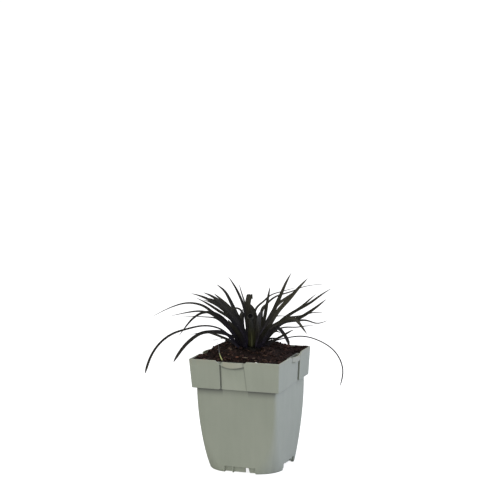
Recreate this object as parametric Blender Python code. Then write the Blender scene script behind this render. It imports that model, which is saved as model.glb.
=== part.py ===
"""Black mondo grass in a square plastic nursery pot.

Metres, +Z up. The origin is the middle of the pot's foot, on the surface that the pot stands on.
The pot's four sides face -Y, +X, +Y and -X. The leaves are drawn as they look from FRONT_HEADING.
"""

import math
from collections import namedtuple

import bmesh
import bpy
import numpy as np
from mathutils import Vector

MM = 0.001
GAP = 0.3 * MM

# Pot: a nine centimetre square pot with a deep collar, a thin wall and a raised floor
POT_HEIGHT = 109.5 * MM
RIM_HALF = 45.65 * MM
COLLAR_HEIGHT = 28.0 * MM
COLLAR_DRAFT = 1.8 * MM
COLLAR_RADIUS = 1.0 * MM
RIM_ROUND = 0.4 * MM
LEAST_RADIUS = 0.4 * MM
WALL = 1.3 * MM
BODY_HALF_TOP = 41.0 * MM
BODY_HALF_FOOT = 37.3 * MM
BODY_RADIUS_TOP = 4.0 * MM
BODY_RADIUS_FOOT = 25.0 * MM
FOOT_ROUND = 0.9 * MM
FOOT_TURN_IN = 0.5 * MM
FOOT_RING = 3.0 * MM
FLOOR_UNDERSIDE = 6.4 * MM
FLOOR_TOP = 7.8 * MM
CORNER_STEPS = 6
BODY_LEVELS = (0.11, 0.22, 0.35, 0.5, 0.66, 0.83)
DRAIN_RADIUS = 4.0 * MM
DRAIN_CIRCLE = 17.0 * MM
DRAIN_SEGMENTS = 16

# Middle of each side: a label pocket behind a bulging lip, with a groove at its left end
POCKET_LEFT = -13.5 * MM
POCKET_RIGHT = 9.8 * MM
POCKET_SLANT = 2.4 * MM
POCKET_END = 0.7 * MM
RECESS_LEFT = 1.4 * MM
RECESS_RIGHT = 0.9 * MM
GROOVE_WIDTH = 1.0 * MM
GROOVE_DEPTH = 1.9 * MM
GROOVE_JOIN = 0.05 * MM
PANEL_CORNER = 3.0 * MM
LIP_CENTRE = -1.3 * MM
LIP_HALF_LENGTH = 11.9 * MM
LIP_BULGE = 2.7 * MM
LIP_TUCK = 0.6 * MM
LIP_DROP = 1.0 * MM
LIP_HEIGHT_MIDDLE = 5.3 * MM
LIP_HEIGHT_END = 3.7 * MM
LIP_WALL = 1.1 * MM
LIP_BACK = 2.3 * MM
LIP_STATIONS = 9
RECESS_STATIONS = 7
PANEL_CORNER_STEPS = 5
# The notches in the rim at the lip's ends: where each begins, is deepest and ends, from the pocket's end
LEFT_NOTCH = (-5.6 * MM, -0.8 * MM, 2.6 * MM)
LEFT_NOTCH_DEPTH = 3.6 * MM
RIGHT_NOTCH = (-0.6 * MM, 0.4 * MM, 3.0 * MM)
RIGHT_NOTCH_DEPTH = 2.2 * MM
INNER_WALL = 40.6 * MM
INNER_WALL_DROP = 2.0 * MM
INNER_WALL_LEFT = -18.5 * MM
INNER_WALL_RIGHT = 15.0 * MM
SLOT_INNER = 41.4 * MM
SLOT_HALF_LENGTH = 10.9 * MM
SLOT_DEPTH = 15.0 * MM
POCKET_SKIN = 0.9 * MM

# Foot of each side: a recessed slot with a rib and an opening
FOOT_SLOT_LEFT = -14.5 * MM
FOOT_SLOT_RIGHT = 16.7 * MM
FOOT_SLOT_HEIGHT = 6.0 * MM
FOOT_SLOT_DEPTH = 1.7 * MM
FOOT_RIB = -6.0 * MM
FOOT_RIB_WIDTH = 0.9 * MM
FOOT_LIFT = 0.8 * MM
SHORT_SLOT_STATIONS = 4
LONG_SLOT_STATIONS = 8
OPENING_LEFT = 6.2 * MM
OPENING_RIGHT = 9.4 * MM
OPENING_FLARE = 1.6 * MM
OPENING_HEIGHT = 5.2 * MM
OPENING_REACH = 6.6 * MM
SIDE_GAP_LEFT = -14.0 * MM
SIDE_GAP_LOW = 3.0 * MM
SIDE_GAP_HIGH = 4.2 * MM

# Soil: level with the rim at the walls, heaped around the crown and a little behind it
SOIL_EDGE_DROP = 1.2 * MM
SOIL_MOUND = 8.0 * MM
SOIL_MOUND_REACH = 44.0 * MM
SOIL_MOUND_MIDDLE = (-3.0 * MM, 7.0 * MM)
SOIL_MOUND_SHAPE = 3.5
# Lumps of bark and peat, as waves: the direction of each, in radians, and its length in millimetres
SOIL_WAVES = ((0.3, 11.0), (1.4, 8.5), (2.5, 9.5), (0.9, 6.0), (2.0, 5.2))
SOIL_LUMP_HEIGHT = 0.045
SOIL_RINGS = 9
SOIL_POINTS = 40
SOIL_LEVELS = (0.2, 0.4, 0.7)

# Crown: the short stem base that the leaves rise from, sunk in the soil
CROWN_HEIGHT = 115.0 * MM
CROWN_RADIUS = 16.5 * MM
CROWN_DOME = 2.2 * MM
CROWN_SUNK = 3.0 * MM
CROWN_SEGMENTS = 28
CROWN_RINGS = (1.0, 0.75, 0.45, 0.15)

# Leaves: a slightly folded strap with a keel
LEAF_THICKNESS = 0.8 * MM
LEAF_TIP_THINNING = 0.5
LEAF_FULL_THICK_WIDTH = 3.2 * MM
LEAF_KEEL_SHARE = 0.7
LEAF_BASE_SHARE = 0.9
LEAF_WIDEST_FROM = 0.25
LEAF_TIP_SHAPE = 0.9
LEAF_FOLD = 0.10
LEAF_STEPS = 11
LEAF_LAST_RING = 0.985
LEAF_LIFT = 0.9 * MM
# A leaf whose tip lies further than this along the view, in millimetres, can be seen end on
LONG_REACH = 40.0

# The leaf routes start from this height on the axis. They are drawn as seen from a direction that is
# turned about Z from -Y, and raised.
ROUTE_HEIGHT = 114.0 * MM
FRONT_HEADING = math.radians(21.1)
FRONT_RAISED = math.radians(11.3)
ACROSS = np.array([math.cos(FRONT_HEADING), math.sin(FRONT_HEADING), 0.0])
LEVEL_TOWARD = np.array([math.sin(FRONT_HEADING), -math.cos(FRONT_HEADING), 0.0])
TOWARD = LEVEL_TOWARD * math.cos(FRONT_RAISED) + np.array([0.0, 0.0, math.sin(FRONT_RAISED)])
UPWARD = np.cross(TOWARD, ACROSS)

# Each leaf, in millimetres from the routes' origin: its base on the crown (across, toward the
# viewer), how far its tip leans toward the viewer, its width, the turn of its blade at the base in
# degrees from facing the viewer to facing up, how much more it turns up to the tip, how late it
# tapers (a larger number gives a blunter tip), and the points (across, up) that it passes through.
Leaf = namedtuple("Leaf", "base toward width turn twist taper route")
LEAVES = {
    "left": (
        Leaf((-13.5, 2), 22, 2.8, 45, 5, 14,
             ((-26, 16.5), (-45.5, 21.5), (-59.5, 19), (-74, 14.5), (-86, 6), (-95.5, -8), (-100.5, -23))),
        Leaf((-12, 7.5), 48, 3.8, 42, 0, 10,
             ((-27, 15), (-37, 15.5), (-45.5, 14.5), (-53, 10.5), (-63, 1), (-72, -12.5))),
        Leaf((-10.5, -6.5), -35, 3.8, 25, 30, 6,
             ((-23.5, 25.5), (-36.5, 34.5), (-46, 35), (-56.5, 29.5), (-64.5, 21), (-71.5, 12.5))),
        Leaf((-9, 1.5), 10, 3.9, 25, 55, 8,
             ((-27, 27), (-36.5, 34.5), (-44, 40), (-52.5, 43), (-61.5, 43.5), (-71, 41.5), (-93, 32))),
        Leaf((-10.5, -2), -12, 3.9, 22, 58, 6,
             ((-21.5, 19.5), (-32, 29), (-40, 34), (-50.5, 36), (-61.5, 35), (-77, 32.5))),
        Leaf((-12.5, -6), -50, 2.6, 30, 50, 6,
             ((-17.5, 14), (-25, 22), (-35, 29.5), (-44.5, 31), (-55, 32), (-68.5, 32))),
        Leaf((-7, 5.5), 34, 4.7, 15, 40, 6,
             ((-15.5, 26.5), (-21, 35.5), (-32, 42), (-42.5, 47.5), (-55.5, 52))),
        Leaf((-7.5, -3.5), -25, 3.6, 20, 32, 6,
             ((-14.5, 21.5), (-20, 29), (-28, 34.5), (-35.5, 39.5), (-44, 45), (-53, 50))),
        Leaf((-5, 8.5), 50, 4.6, 15, 25, 7, ((-9.5, 19), (-18, 32.5), (-27, 42), (-35, 48), (-43.5, 52))),
        Leaf((-4.5, -6.5), -32, 3.6, 20, 15, 7,
             ((-9, 19.5), (-14.5, 32), (-20.5, 40), (-27, 46.5), (-36, 54.5))),
        Leaf((-4, 2.5), 18, 3.8, 20, 5, 6, ((-9.5, 24), (-14, 34.5), (-19, 45), (-24, 54), (-32, 61))),
        Leaf((-2.5, -3.5), -15, 3.6, 30, 10, 6,
             ((-3.5, 22), (-5, 33.5), (-6.5, 40.5), (-10, 50), (-14.5, 59.5), (-21, 70))),
        Leaf((-1, -8), -50, 3.4, 35, 0, 6, ((-3.5, 29), (-5.5, 44.5), (-8, 53.5), (-10.5, 64))),
        Leaf((-13.5, -3), -20, 2.4, 45, 20, 5, ((-23.5, 14), (-36.5, 15.5), (-46, 15.5), (-60, 13.5))),
        Leaf((-10, 11), 58, 3.2, 35, 10, 7, ((-21, 7.5), (-26.5, 10), (-33, 12.5), (-39, 14))),
        Leaf((-11, -9), -62, 1.4, 50, 30, 5, ((-17, 8), (-26, 9.5), (-43, 7))),
        Leaf((-1.5, 5.5), 27, 3.6, 20, 50, 6,
             ((-6.5, 16), (-7.5, 26.5), (-7.5, 32.5), (-9.5, 36), (-13, 37.5), (-18, 36), (-25, 29.5))),
        Leaf((-8, -0.5), -5, 4.0, 15, 45, 6,
             ((-13.5, 19), (-20, 30.5), (-27, 37.5), (-35.5, 43), (-46, 47.5))),
        Leaf((-6, 2), 4, 4.4, 15, 15, 6,
             ((-12, 19), (-19.5, 32), (-25, 39.5), (-31.5, 44.5), (-40, 48.5))),
        Leaf((-9.5, 5), 15, 3.2, 35, 15, 6, ((-14, 9), (-20.5, 12), (-27, 13.5), (-36.5, 14.5))),
    ),
    "right": (
        Leaf((4, 1), 8, 4.6, 25, 10, 5,
             ((18, 25.5), (24.5, 38.5), (30.5, 51.5), (35, 61.5), (40.5, 71.5))),
        Leaf((7, 5), 26, 5.2, 30, 10, 6, ((21, 25.5), (28, 35.5), (37, 45), (45.5, 54.5), (55.5, 65))),
        Leaf((7, -5), -20, 4.0, 30, 10, 6,
             ((17.5, 26.5), (23, 36), (27, 41.5), (31.5, 45), (38.5, 50), (47, 56))),
        Leaf((3, -5.5), -15, 4.0, 30, 5, 5, ((12.5, 22), (15, 33), (17, 44), (20, 59.5))),
        Leaf((4, -14), -46, 3.2, 20, 35, 2.5,
             ((4, 27), (6.5, 39), (13, 45), (20, 51), (30.5, 55), (46.5, 59.5))),
        Leaf((7, -10), -36, 3.4, 20, 65, 3,
             ((10, 29), (14, 39.5), (18, 44), (25.5, 49.5), (39.5, 54), (51, 58.5), (73.5, 62))),
        Leaf((9.5, 0), 10, 3.9, 30, 20, 6,
             ((31, 26), (41.5, 33), (53, 39), (59, 42.5), (67.5, 48.5), (78.5, 55.5))),
        Leaf((10, 7.5), 44, 3.4, 35, 15, 6, ((32, 27), (45.5, 35.5), (51.5, 40), (55.5, 43.5), (62, 49))),
        Leaf((12, 2.5), 20, 4.2, 35, 5, 7,
             ((28.5, 23.5), (43.5, 26), (53, 30.5), (63.5, 37.5), (73, 45))),
        Leaf((10.5, -5), -30, 3.6, 30, 40, 7,
             ((25.5, 22.5), (38, 28.5), (49.5, 30), (60.5, 33), (72, 33.5))),
        Leaf((11.5, -7.5), -43, 4.2, 15, 60, 7,
             ((25.5, 19), (33.5, 24), (45.5, 25.5), (56.5, 25.5), (65, 23), (77.5, 26))),
        Leaf((10, 9.5), 50, 4.0, 25, 0, 7,
             ((19, 18), (27.5, 23), (33, 25.5), (37.5, 27), (42.5, 25), (47.5, 19), (52.5, 11.5))),
        Leaf((13.5, -2), -18, 2.8, 40, 30, 6,
             ((25, 16.5), (34.5, 19), (45, 19), (53.5, 20), (62.5, 20.5))),
        Leaf((13.5, 5), 16, 3.0, 35, 5, 7, ((23.5, 7), (33, 12), (37.5, 14.5), (41.5, 16.5))),
        Leaf((9, -11), -29, 3.8, 20, 5, 30, ((20.5, 17), (27, 18.5), (31, 15), (35, 9), (38, 2))),
        Leaf((14.5, 1.5), 1, 1.5, 40, 5, 10,
             ((23.5, 6), (33.5, 8.5), (50, 10), (67, 5), (81.5, -6), (88.5, -24), (85, -39))),
        Leaf((7, -1.5), -2, 3.6, 30, 45, 5, ((13.5, 20.5), (20, 28.5), (27, 30), (35, 30))),
        Leaf((12.5, 8), 17, 3.2, 35, 0, 6, ((17, 9), (20, 12.5), (24, 15), (28.5, 13.5))),
        Leaf((5, -1), -4, 4.4, 15, 25, 6, ((8, 12), (10.5, 23.5), (11, 33.5), (13.5, 40), (16.5, 42.5))),
    ),
    "middle": (
        Leaf((-1, 0.5), 6, 5.4, 5, 0, 150, ((-2, 19), (-2, 33.5), (-2, 42), (0, 51.5))),
        Leaf((1, 8), 75, 7.4, 0, 0, 3, ((1, 12), (0.5, 21), (-0.5, 29.5))),
        Leaf((6.5, 10), 56, 4.8, 15, 0, 8, ((6.5, 12), (7.5, 21), (8.5, 29), (10, 34))),
        Leaf((3, 4), 18, 5.4, 5, 0, 10, ((5, 18.5), (4, 30), (2, 37), (-0.5, 42))),
        Leaf((7.5, 11.5), 62, 4.6, 10, 0, 5, ((11, 10.5), (15.5, 17), (21, 22.5))),
        Leaf((-5.5, 11.5), 70, 5.4, 10, 0, 5, ((-10.5, 12), (-16.5, 20), (-20.5, 26))),
        Leaf((-5, -9.5), -38, 5.4, 10, 0, 6, ((-9.5, 16.5), (-9.5, 27.5), (-7.5, 38.5))),
        Leaf((0, 2.5), 12, 5.0, 10, 0, 5, ((1, 19), (0.5, 28.5), (0, 37))),
    ),
    "back": (
        Leaf((-4, -13), -78, 3.2, 0, 0, 4, ((-6, 17.5), (-12.5, 22.5), (-16, 14))),
        Leaf((0, -14), -70, 3.2, 0, 0, 4, ((0.5, 18), (1.5, 22.5), (2, 13))),
        Leaf((8, -13.5), -62, 3.2, 0, 0, 4, ((11.5, 17), (17, 21), (22, 12.5))),
        Leaf((-8, -12), -66, 3.4, 10, 0, 4, ((-12, 17.5), (-20.5, 24.5), (-27.5, 27))),
        Leaf((13, -8.5), -24, 2.0, 20, 20, 7, ((20, 8.5), (25.5, 8.5), (32, 10))),
        Leaf((-3, -11), -50, 3.4, 10, 0, 4, ((-2.5, 22.5), (-2.5, 34))),
    ),
}
SPROUT = Leaf((-26, 34), 20, 1.4, 20, 40, 0.8, ((-30, -3), (-31, 4), (-36.5, 9), (-43, 12.5)))


def clear_scene():
    for thing in list(bpy.data.objects):
        bpy.data.objects.remove(thing, do_unlink=True)


def material(name, colour, roughness):
    made = bpy.data.materials.new(name)
    made.use_nodes = True
    shader = made.node_tree.nodes["Principled BSDF"]
    shader.inputs["Base Color"].default_value = (*colour, 1.0)
    shader.inputs["Roughness"].default_value = roughness
    made.diffuse_color = (*colour, 1.0)
    return made


def add_object(name, mesh_data, finish=None):
    bmesh.ops.recalc_face_normals(mesh_data, faces=mesh_data.faces)
    if mesh_data.calc_volume(signed=True) < 0.0:
        bmesh.ops.reverse_faces(mesh_data, faces=mesh_data.faces)
    mesh = bpy.data.meshes.new(name)
    mesh_data.to_mesh(mesh)
    mesh_data.free()
    thing = bpy.data.objects.new(name, mesh)
    if finish:
        mesh.materials.append(finish)
    bpy.context.scene.collection.objects.link(thing)
    return thing


def add_loft(mesh_data, loops):
    """Joins closed loops of equal length, one after the other, and caps both ends."""
    rows = [[mesh_data.verts.new(point) for point in loop] for loop in loops]
    for row, following in zip(rows, rows[1:]):
        for here in range(len(row)):
            beside = (here + 1) % len(row)
            mesh_data.faces.new((row[here], row[beside], following[beside], following[here]))
    mesh_data.faces.new(rows[0])
    mesh_data.faces.new(rows[-1])


def apply_boolean(target, operation, tool):
    """Adds or cuts a hidden tool object, which stays as a wire guide."""
    tool.hide_render = True
    tool.display_type = "WIRE"
    step = target.modifiers.new(tool.name, "BOOLEAN")
    step.operation = operation
    step.solver = "EXACT"
    step.object = tool


# Pot

COLLAR_BOTTOM = POT_HEIGHT - COLLAR_HEIGHT


def blend(low, high, share):
    return low + (high - low) * share


def body_half(z):
    """The sides bow in gently from the collar and stand upright at the foot."""
    return blend(BODY_HALF_FOOT, BODY_HALF_TOP, (1.0 - math.cos(math.pi * z / COLLAR_BOTTOM)) / 2)


def body_radius(z):
    """The corners open from tight at the collar to widely rounded at the foot."""
    return blend(BODY_RADIUS_TOP, BODY_RADIUS_FOOT, (1.0 - z / COLLAR_BOTTOM) ** 4)


def collar_half(z):
    return RIM_HALF - COLLAR_DRAFT * (POT_HEIGHT - z) / COLLAR_HEIGHT


def square_loop(half, radius, z):
    """A square with rounded corners, counter-clockwise, at height z."""
    radius = max(radius, LEAST_RADIUS)
    loop = []
    for quarter in range(4):
        start = quarter * math.pi / 2
        middle = start + math.pi / 4
        centre = Vector((math.cos(middle), math.sin(middle))) * (half - radius) * math.sqrt(2)
        for step in range(CORNER_STEPS + 1):
            angle = start + step * math.pi / 2 / CORNER_STEPS
            loop.append((centre.x + radius * math.cos(angle), centre.y + radius * math.sin(angle), z))
    return loop


def body_loop(z, inset):
    return square_loop(body_half(z) - inset, body_radius(z) - inset, z)


def collar_loop(z, inset):
    return square_loop(collar_half(z) - inset, COLLAR_RADIUS - inset, z)


def body_face(along, z):
    """How far out the body's outer face is, at a place along a side."""
    half = body_half(z)
    radius = body_radius(z)
    past_flat = max(0.0, abs(along) - (half - radius))
    return half - radius + math.sqrt(radius ** 2 - past_flat ** 2)


def on_side(side, along, out, z):
    """A point from its place along a side, out from the axis and up. Odd sides are mirror images."""
    flip = -1.0 if side % 2 else 1.0
    angle = side * math.pi / 2
    x = along * flip
    y = -out
    return (x * math.cos(angle) - y * math.sin(angle), x * math.sin(angle) + y * math.cos(angle), z)


def pot_shell():
    levels = [level * COLLAR_BOTTOM for level in BODY_LEVELS]
    ledge = COLLAR_BOTTOM + WALL
    loops = [
        body_loop(FLOOR_UNDERSIDE, FOOT_RING),
        body_loop(0.0, FOOT_RING),
        body_loop(0.0, FOOT_TURN_IN),
        body_loop(FOOT_ROUND, 0.0),
    ]
    loops += [body_loop(z, 0.0) for z in levels]
    loops += [
        body_loop(COLLAR_BOTTOM, 0.0),
        collar_loop(COLLAR_BOTTOM, 0.0),
        collar_loop(POT_HEIGHT - RIM_ROUND, 0.0),
        collar_loop(POT_HEIGHT, RIM_ROUND),
        collar_loop(POT_HEIGHT, WALL),
        collar_loop(ledge, WALL),
        square_loop(BODY_HALF_TOP - WALL, BODY_RADIUS_TOP - WALL, ledge),
    ]
    loops += [body_loop(z, WALL) for z in reversed(levels) if z > FLOOR_TOP]
    loops.append(body_loop(FLOOR_TOP, WALL))
    shell = bmesh.new()
    add_loft(shell, loops)
    return shell


def lip_bottom(along):
    """The lip's lower edge is an arc, deepest in the middle."""
    share = min(1.0, abs(along - LIP_CENTRE) / LIP_HALF_LENGTH) ** 2
    return POT_HEIGHT - LIP_DROP - blend(LIP_HEIGHT_MIDDLE, LIP_HEIGHT_END, share)


def lip_face(along):
    """The lip bulges out in the middle and runs into the collar's wall at its ends."""
    share = min(1.0, abs(along - LIP_CENTRE) / LIP_HALF_LENGTH) ** 2
    return RIM_HALF + blend(LIP_BULGE, -LIP_TUCK, share)


def swept(side, stations):
    """A bar along a side from cross-sections given as (along, ((out, z), ...))."""
    return [[on_side(side, along, out, z) for out, z in section] for along, section in stations]


def prism(side, outline, out_low, out_high):
    """An outline drawn on a side as (along, z), run from one distance out to another."""
    return [[on_side(side, along, out, z) for along, z in outline] for out in (out_low, out_high)]


def for_each_side(name, shapes):
    """One object that holds the same shapes on all four sides."""
    tool = bmesh.new()
    for side in range(4):
        for loops in shapes(side):
            add_loft(tool, loops)
    return add_object(name, tool)


FAR_OUT = 50.0 * MM
OVER = 1.0 * MM
IN_WALL = 0.7 * MM
LIP_OVERLAP = 0.5 * MM
RUN_OUT = 0.3 * MM


def inner_wall(side):
    """The pocket's back wall and its filling, standing on the ledge inside the collar."""
    top = POT_HEIGHT - INNER_WALL_DROP
    floor = COLLAR_BOTTOM + IN_WALL
    section = (
        (INNER_WALL, floor),
        (collar_half(floor) - IN_WALL, floor),
        (collar_half(top) - IN_WALL, top),
        (INNER_WALL, top),
    )
    yield swept(side, [(INNER_WALL_LEFT, section), (INNER_WALL_RIGHT, section)])


def lip(side):
    stations = []
    for along in np.linspace(LIP_CENTRE - LIP_HALF_LENGTH, LIP_CENTRE + LIP_HALF_LENGTH, LIP_STATIONS):
        back = RIM_HALF - LIP_BACK
        front = lip_face(along)
        low = lip_bottom(along)
        high = POT_HEIGHT - LIP_DROP + LIP_OVERLAP
        stations.append((along, ((back, low), (front, low), (front, high), (back, high))))
    yield swept(side, stations)


def middle_recess(side):
    """Sets the side's middle back under the lip, deeper at its left end. The lip is joined on later."""
    low = COLLAR_BOTTOM - OVER
    stations = []
    for along in np.linspace(POCKET_LEFT, POCKET_RIGHT, RECESS_STATIONS):
        share = (along - POCKET_LEFT) / (POCKET_RIGHT - POCKET_LEFT)
        depth = blend(RECESS_LEFT, RECESS_RIGHT, share)
        high = lip_bottom(along) + LIP_OVERLAP
        section = ((FAR_OUT, low), (collar_half(low) - depth, low),
                   (collar_half(high) - depth, high), (FAR_OUT, high))
        stations.append((along, section))
    loops = swept(side, stations)
    # The right end slants away from the lip and runs out to the panel's face
    for further, depth in ((RUN_OUT, RECESS_RIGHT), (POCKET_END, -RUN_OUT)):
        end_low = POCKET_RIGHT + POCKET_SLANT + further
        end_high = POCKET_RIGHT + further
        high = lip_bottom(end_high) + LIP_OVERLAP
        loops.append([
            on_side(side, end_low, FAR_OUT, low),
            on_side(side, end_low, collar_half(low) - depth, low),
            on_side(side, end_high, collar_half(high) - depth, high),
            on_side(side, end_high, FAR_OUT, high),
        ])
    yield loops


def groove(side):
    left = POCKET_LEFT - GROOVE_WIDTH
    low = COLLAR_BOTTOM - OVER
    high = lip_bottom(LIP_HALF_LENGTH) + OVER
    section = (
        (FAR_OUT, low),
        (collar_half(low) - GROOVE_DEPTH, low),
        (collar_half(high) - GROOVE_DEPTH, high),
        (FAR_OUT, high),
    )
    yield swept(side, [(left, section), (POCKET_LEFT + GROOVE_JOIN, section)])


def panel_corner(side):
    """Rounds the left panel's lower inner corner."""
    right = POCKET_LEFT - GROOVE_WIDTH * 0.5
    left = right - PANEL_CORNER
    outline = [(right, COLLAR_BOTTOM - OVER)]
    for step in range(PANEL_CORNER_STEPS + 1):
        angle = -step * math.pi / 2 / PANEL_CORNER_STEPS
        outline.append((left + PANEL_CORNER * math.cos(angle),
                        COLLAR_BOTTOM + PANEL_CORNER * (1.0 + math.sin(angle))))
    outline.append((left, COLLAR_BOTTOM - OVER))
    yield prism(side, outline, collar_half(COLLAR_BOTTOM) - GROOVE_DEPTH, FAR_OUT)


def rim_cut(side):
    """Lowers the lip's top below the rim, with a notch at each of its ends."""
    above = POT_HEIGHT + OVER
    lip_top = POT_HEIGHT - LIP_DROP
    left = [POCKET_LEFT + along for along in LEFT_NOTCH]
    right = [POCKET_RIGHT + along for along in RIGHT_NOTCH]
    outline = (
        (left[0] - OVER, above),
        (left[0], POT_HEIGHT),
        (left[1], POT_HEIGHT - LEFT_NOTCH_DEPTH),
        (left[2], lip_top),
        (right[0], lip_top),
        (right[1], POT_HEIGHT - RIGHT_NOTCH_DEPTH),
        (right[2], POT_HEIGHT),
        (right[2] + OVER, above),
    )
    yield prism(side, outline, SLOT_INNER + GAP, FAR_OUT)


def label_slot(side):
    bottom = POT_HEIGHT - SLOT_DEPTH
    shelf = lip_bottom(LIP_CENTRE) + LIP_WALL
    top = POT_HEIGHT + OVER
    stations = []
    for along in np.linspace(LIP_CENTRE - SLOT_HALF_LENGTH, LIP_CENTRE + SLOT_HALF_LENGTH, LIP_STATIONS):
        skin_bottom = collar_half(bottom) - RECESS_LEFT - POCKET_SKIN
        skin_top = collar_half(shelf) - RECESS_LEFT - POCKET_SKIN
        lip_back = lip_face(along) - LIP_WALL
        section = ((SLOT_INNER, bottom), (skin_bottom, bottom), (skin_top, shelf),
                   (lip_back, shelf), (lip_back, top), (SLOT_INNER, top))
        stations.append((along, section))
    yield swept(side, stations)


def foot_slot(side):
    """The recessed slot at the foot, on both sides of a rib. Its back wall ends above the ground."""
    parts = (
        (FOOT_SLOT_LEFT, FOOT_RIB - FOOT_RIB_WIDTH / 2, SHORT_SLOT_STATIONS),
        (FOOT_RIB + FOOT_RIB_WIDTH / 2, FOOT_SLOT_RIGHT, LONG_SLOT_STATIONS),
    )
    for left, right, count in parts:
        stations = []
        for along in np.linspace(left, right, count):
            back = body_face(along, 0.0) - FOOT_SLOT_DEPTH
            inside = back - FOOT_RING
            section = ((inside, -OVER), (FAR_OUT, -OVER), (FAR_OUT, FOOT_SLOT_HEIGHT),
                       (back, FOOT_SLOT_HEIGHT), (back, FOOT_LIFT), (inside, FOOT_LIFT))
            stations.append((along, section))
        yield swept(side, stations)


def foot_opening(side):
    outline = (
        (OPENING_LEFT, -OVER),
        (OPENING_RIGHT + OPENING_FLARE, -OVER),
        (OPENING_RIGHT, OPENING_HEIGHT),
        (OPENING_LEFT, OPENING_HEIGHT),
    )
    yield prism(side, outline, BODY_HALF_FOOT - OPENING_REACH, FAR_OUT)


def side_gap(side):
    """On every second side, the foot ring is also cut away from the opening to the slot's other end."""
    if side % 2:
        right = OPENING_LEFT + RUN_OUT
        outline = (
            (SIDE_GAP_LEFT, -OVER),
            (right, -OVER),
            (right, SIDE_GAP_HIGH),
            (SIDE_GAP_LEFT, SIDE_GAP_LOW),
        )
        yield prism(side, outline, BODY_HALF_FOOT - OPENING_REACH, FAR_OUT)


def drain_hole(side):
    """One hole through the floor for each side, on the diagonals."""
    angle = (side + 0.5) * math.pi / 2
    centre = (DRAIN_CIRCLE * math.cos(angle), DRAIN_CIRCLE * math.sin(angle))
    turns = [step * math.tau / DRAIN_SEGMENTS for step in range(DRAIN_SEGMENTS)]
    yield [[(centre[0] + DRAIN_RADIUS * math.cos(turn), centre[1] + DRAIN_RADIUS * math.sin(turn), z)
            for turn in turns] for z in (FLOOR_UNDERSIDE - OVER, FLOOR_TOP + OVER)]


def make_pot():
    pot = add_object("pot", pot_shell(), material("pot_plastic", (0.28, 0.31, 0.25), 0.6))
    for operation, shapes in (
        ("UNION", inner_wall),
        ("DIFFERENCE", middle_recess),
        ("DIFFERENCE", groove),
        ("DIFFERENCE", panel_corner),
        ("UNION", lip),
        ("DIFFERENCE", rim_cut),
        ("DIFFERENCE", label_slot),
        ("DIFFERENCE", foot_slot),
        ("DIFFERENCE", foot_opening),
        ("DIFFERENCE", side_gap),
        ("DIFFERENCE", drain_hole),
    ):
        apply_boolean(pot, operation, for_each_side("cut_" + shapes.__name__, shapes))
    return pot


# Soil and crown

def lumps(x, y):
    """A sum of the waves. The longer ones are higher."""
    height = 0.0
    for turn, wave in SOIL_WAVES:
        along = x * math.cos(turn) + y * math.sin(turn)
        height += math.sin(along / (wave * MM) * 2.0 + wave) * wave * MM * SOIL_LUMP_HEIGHT
    return height


def soil_height(x, y):
    away = math.hypot(x - SOIL_MOUND_MIDDLE[0], y - SOIL_MOUND_MIDDLE[1]) / SOIL_MOUND_REACH
    mound = SOIL_MOUND * (1.0 - min(1.0, away) ** SOIL_MOUND_SHAPE)
    return POT_HEIGHT - SOIL_EDGE_DROP + mound + lumps(x, y)


def square_reach(half, radius, angle):
    """How far a square with rounded corners reaches from its middle, in a direction."""
    long_way = max(abs(math.cos(angle)), abs(math.sin(angle)))
    short_way = min(abs(math.cos(angle)), abs(math.sin(angle)))
    flat = half - radius
    if half * short_way <= flat * long_way:
        return half / long_way
    past_flat = flat * (long_way - short_way)
    return flat * (long_way + short_way) + math.sqrt(radius ** 2 - past_flat ** 2)


def soil_loop(half, radius, z):
    angles = [step * math.tau / SOIL_POINTS for step in range(SOIL_POINTS)]
    reaches = [square_reach(half, max(radius, LEAST_RADIUS), angle) for angle in angles]
    return [(reach * math.cos(angle), reach * math.sin(angle), z) for reach, angle in zip(reaches, angles)]


def soil_block():
    bottom = FLOOR_TOP + GAP
    ledge = COLLAR_BOTTOM + WALL + GAP
    clear = WALL + GAP
    crown_hole = CROWN_RADIUS + GAP
    pit = CROWN_HEIGHT - CROWN_SUNK - GAP
    levels = [bottom] + [level * COLLAR_BOTTOM for level in SOIL_LEVELS]
    loops = [soil_loop(body_half(z) - clear, body_radius(z) - clear, z) for z in levels]
    loops += [
        soil_loop(BODY_HALF_TOP - clear, BODY_RADIUS_TOP - clear, ledge),
        soil_loop(collar_half(ledge) - clear, COLLAR_RADIUS - clear, ledge),
    ]
    edge = soil_loop(collar_half(POT_HEIGHT) - clear, COLLAR_RADIUS - clear, POT_HEIGHT - SOIL_EDGE_DROP)
    loops.append(edge)
    for ring in range(1, SOIL_RINGS):
        share = ring / (SOIL_RINGS - 1)
        loop = []
        for x, y, z in edge:
            inward = blend(1.0, crown_hole / math.hypot(x, y), share)
            loop.append((x * inward, y * inward, soil_height(x * inward, y * inward)))
        loops.append(loop)
    loops.append([(x, y, pit) for x, y, z in loops[-1]])
    block = bmesh.new()
    add_loft(block, loops)
    return block


def pocket_clearance(side):
    """Room for the label pocket's back wall."""
    low = COLLAR_BOTTOM
    high = POT_HEIGHT + SOIL_MOUND * 2
    inside = INNER_WALL - GAP
    section = ((inside, low), (FAR_OUT, low), (FAR_OUT, high), (inside, high))
    yield swept(side, [(INNER_WALL_LEFT - GAP, section), (INNER_WALL_RIGHT + GAP, section)])


def make_soil():
    soil = add_object("soil", soil_block(), material("soil_mix", (0.022, 0.014, 0.011), 0.95))
    apply_boolean(soil, "DIFFERENCE", for_each_side("cut_pocket_clearance", pocket_clearance))
    return soil


def crown_height(distance):
    return CROWN_HEIGHT + CROWN_DOME * (1.0 - (distance / CROWN_RADIUS) ** 2)


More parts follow.
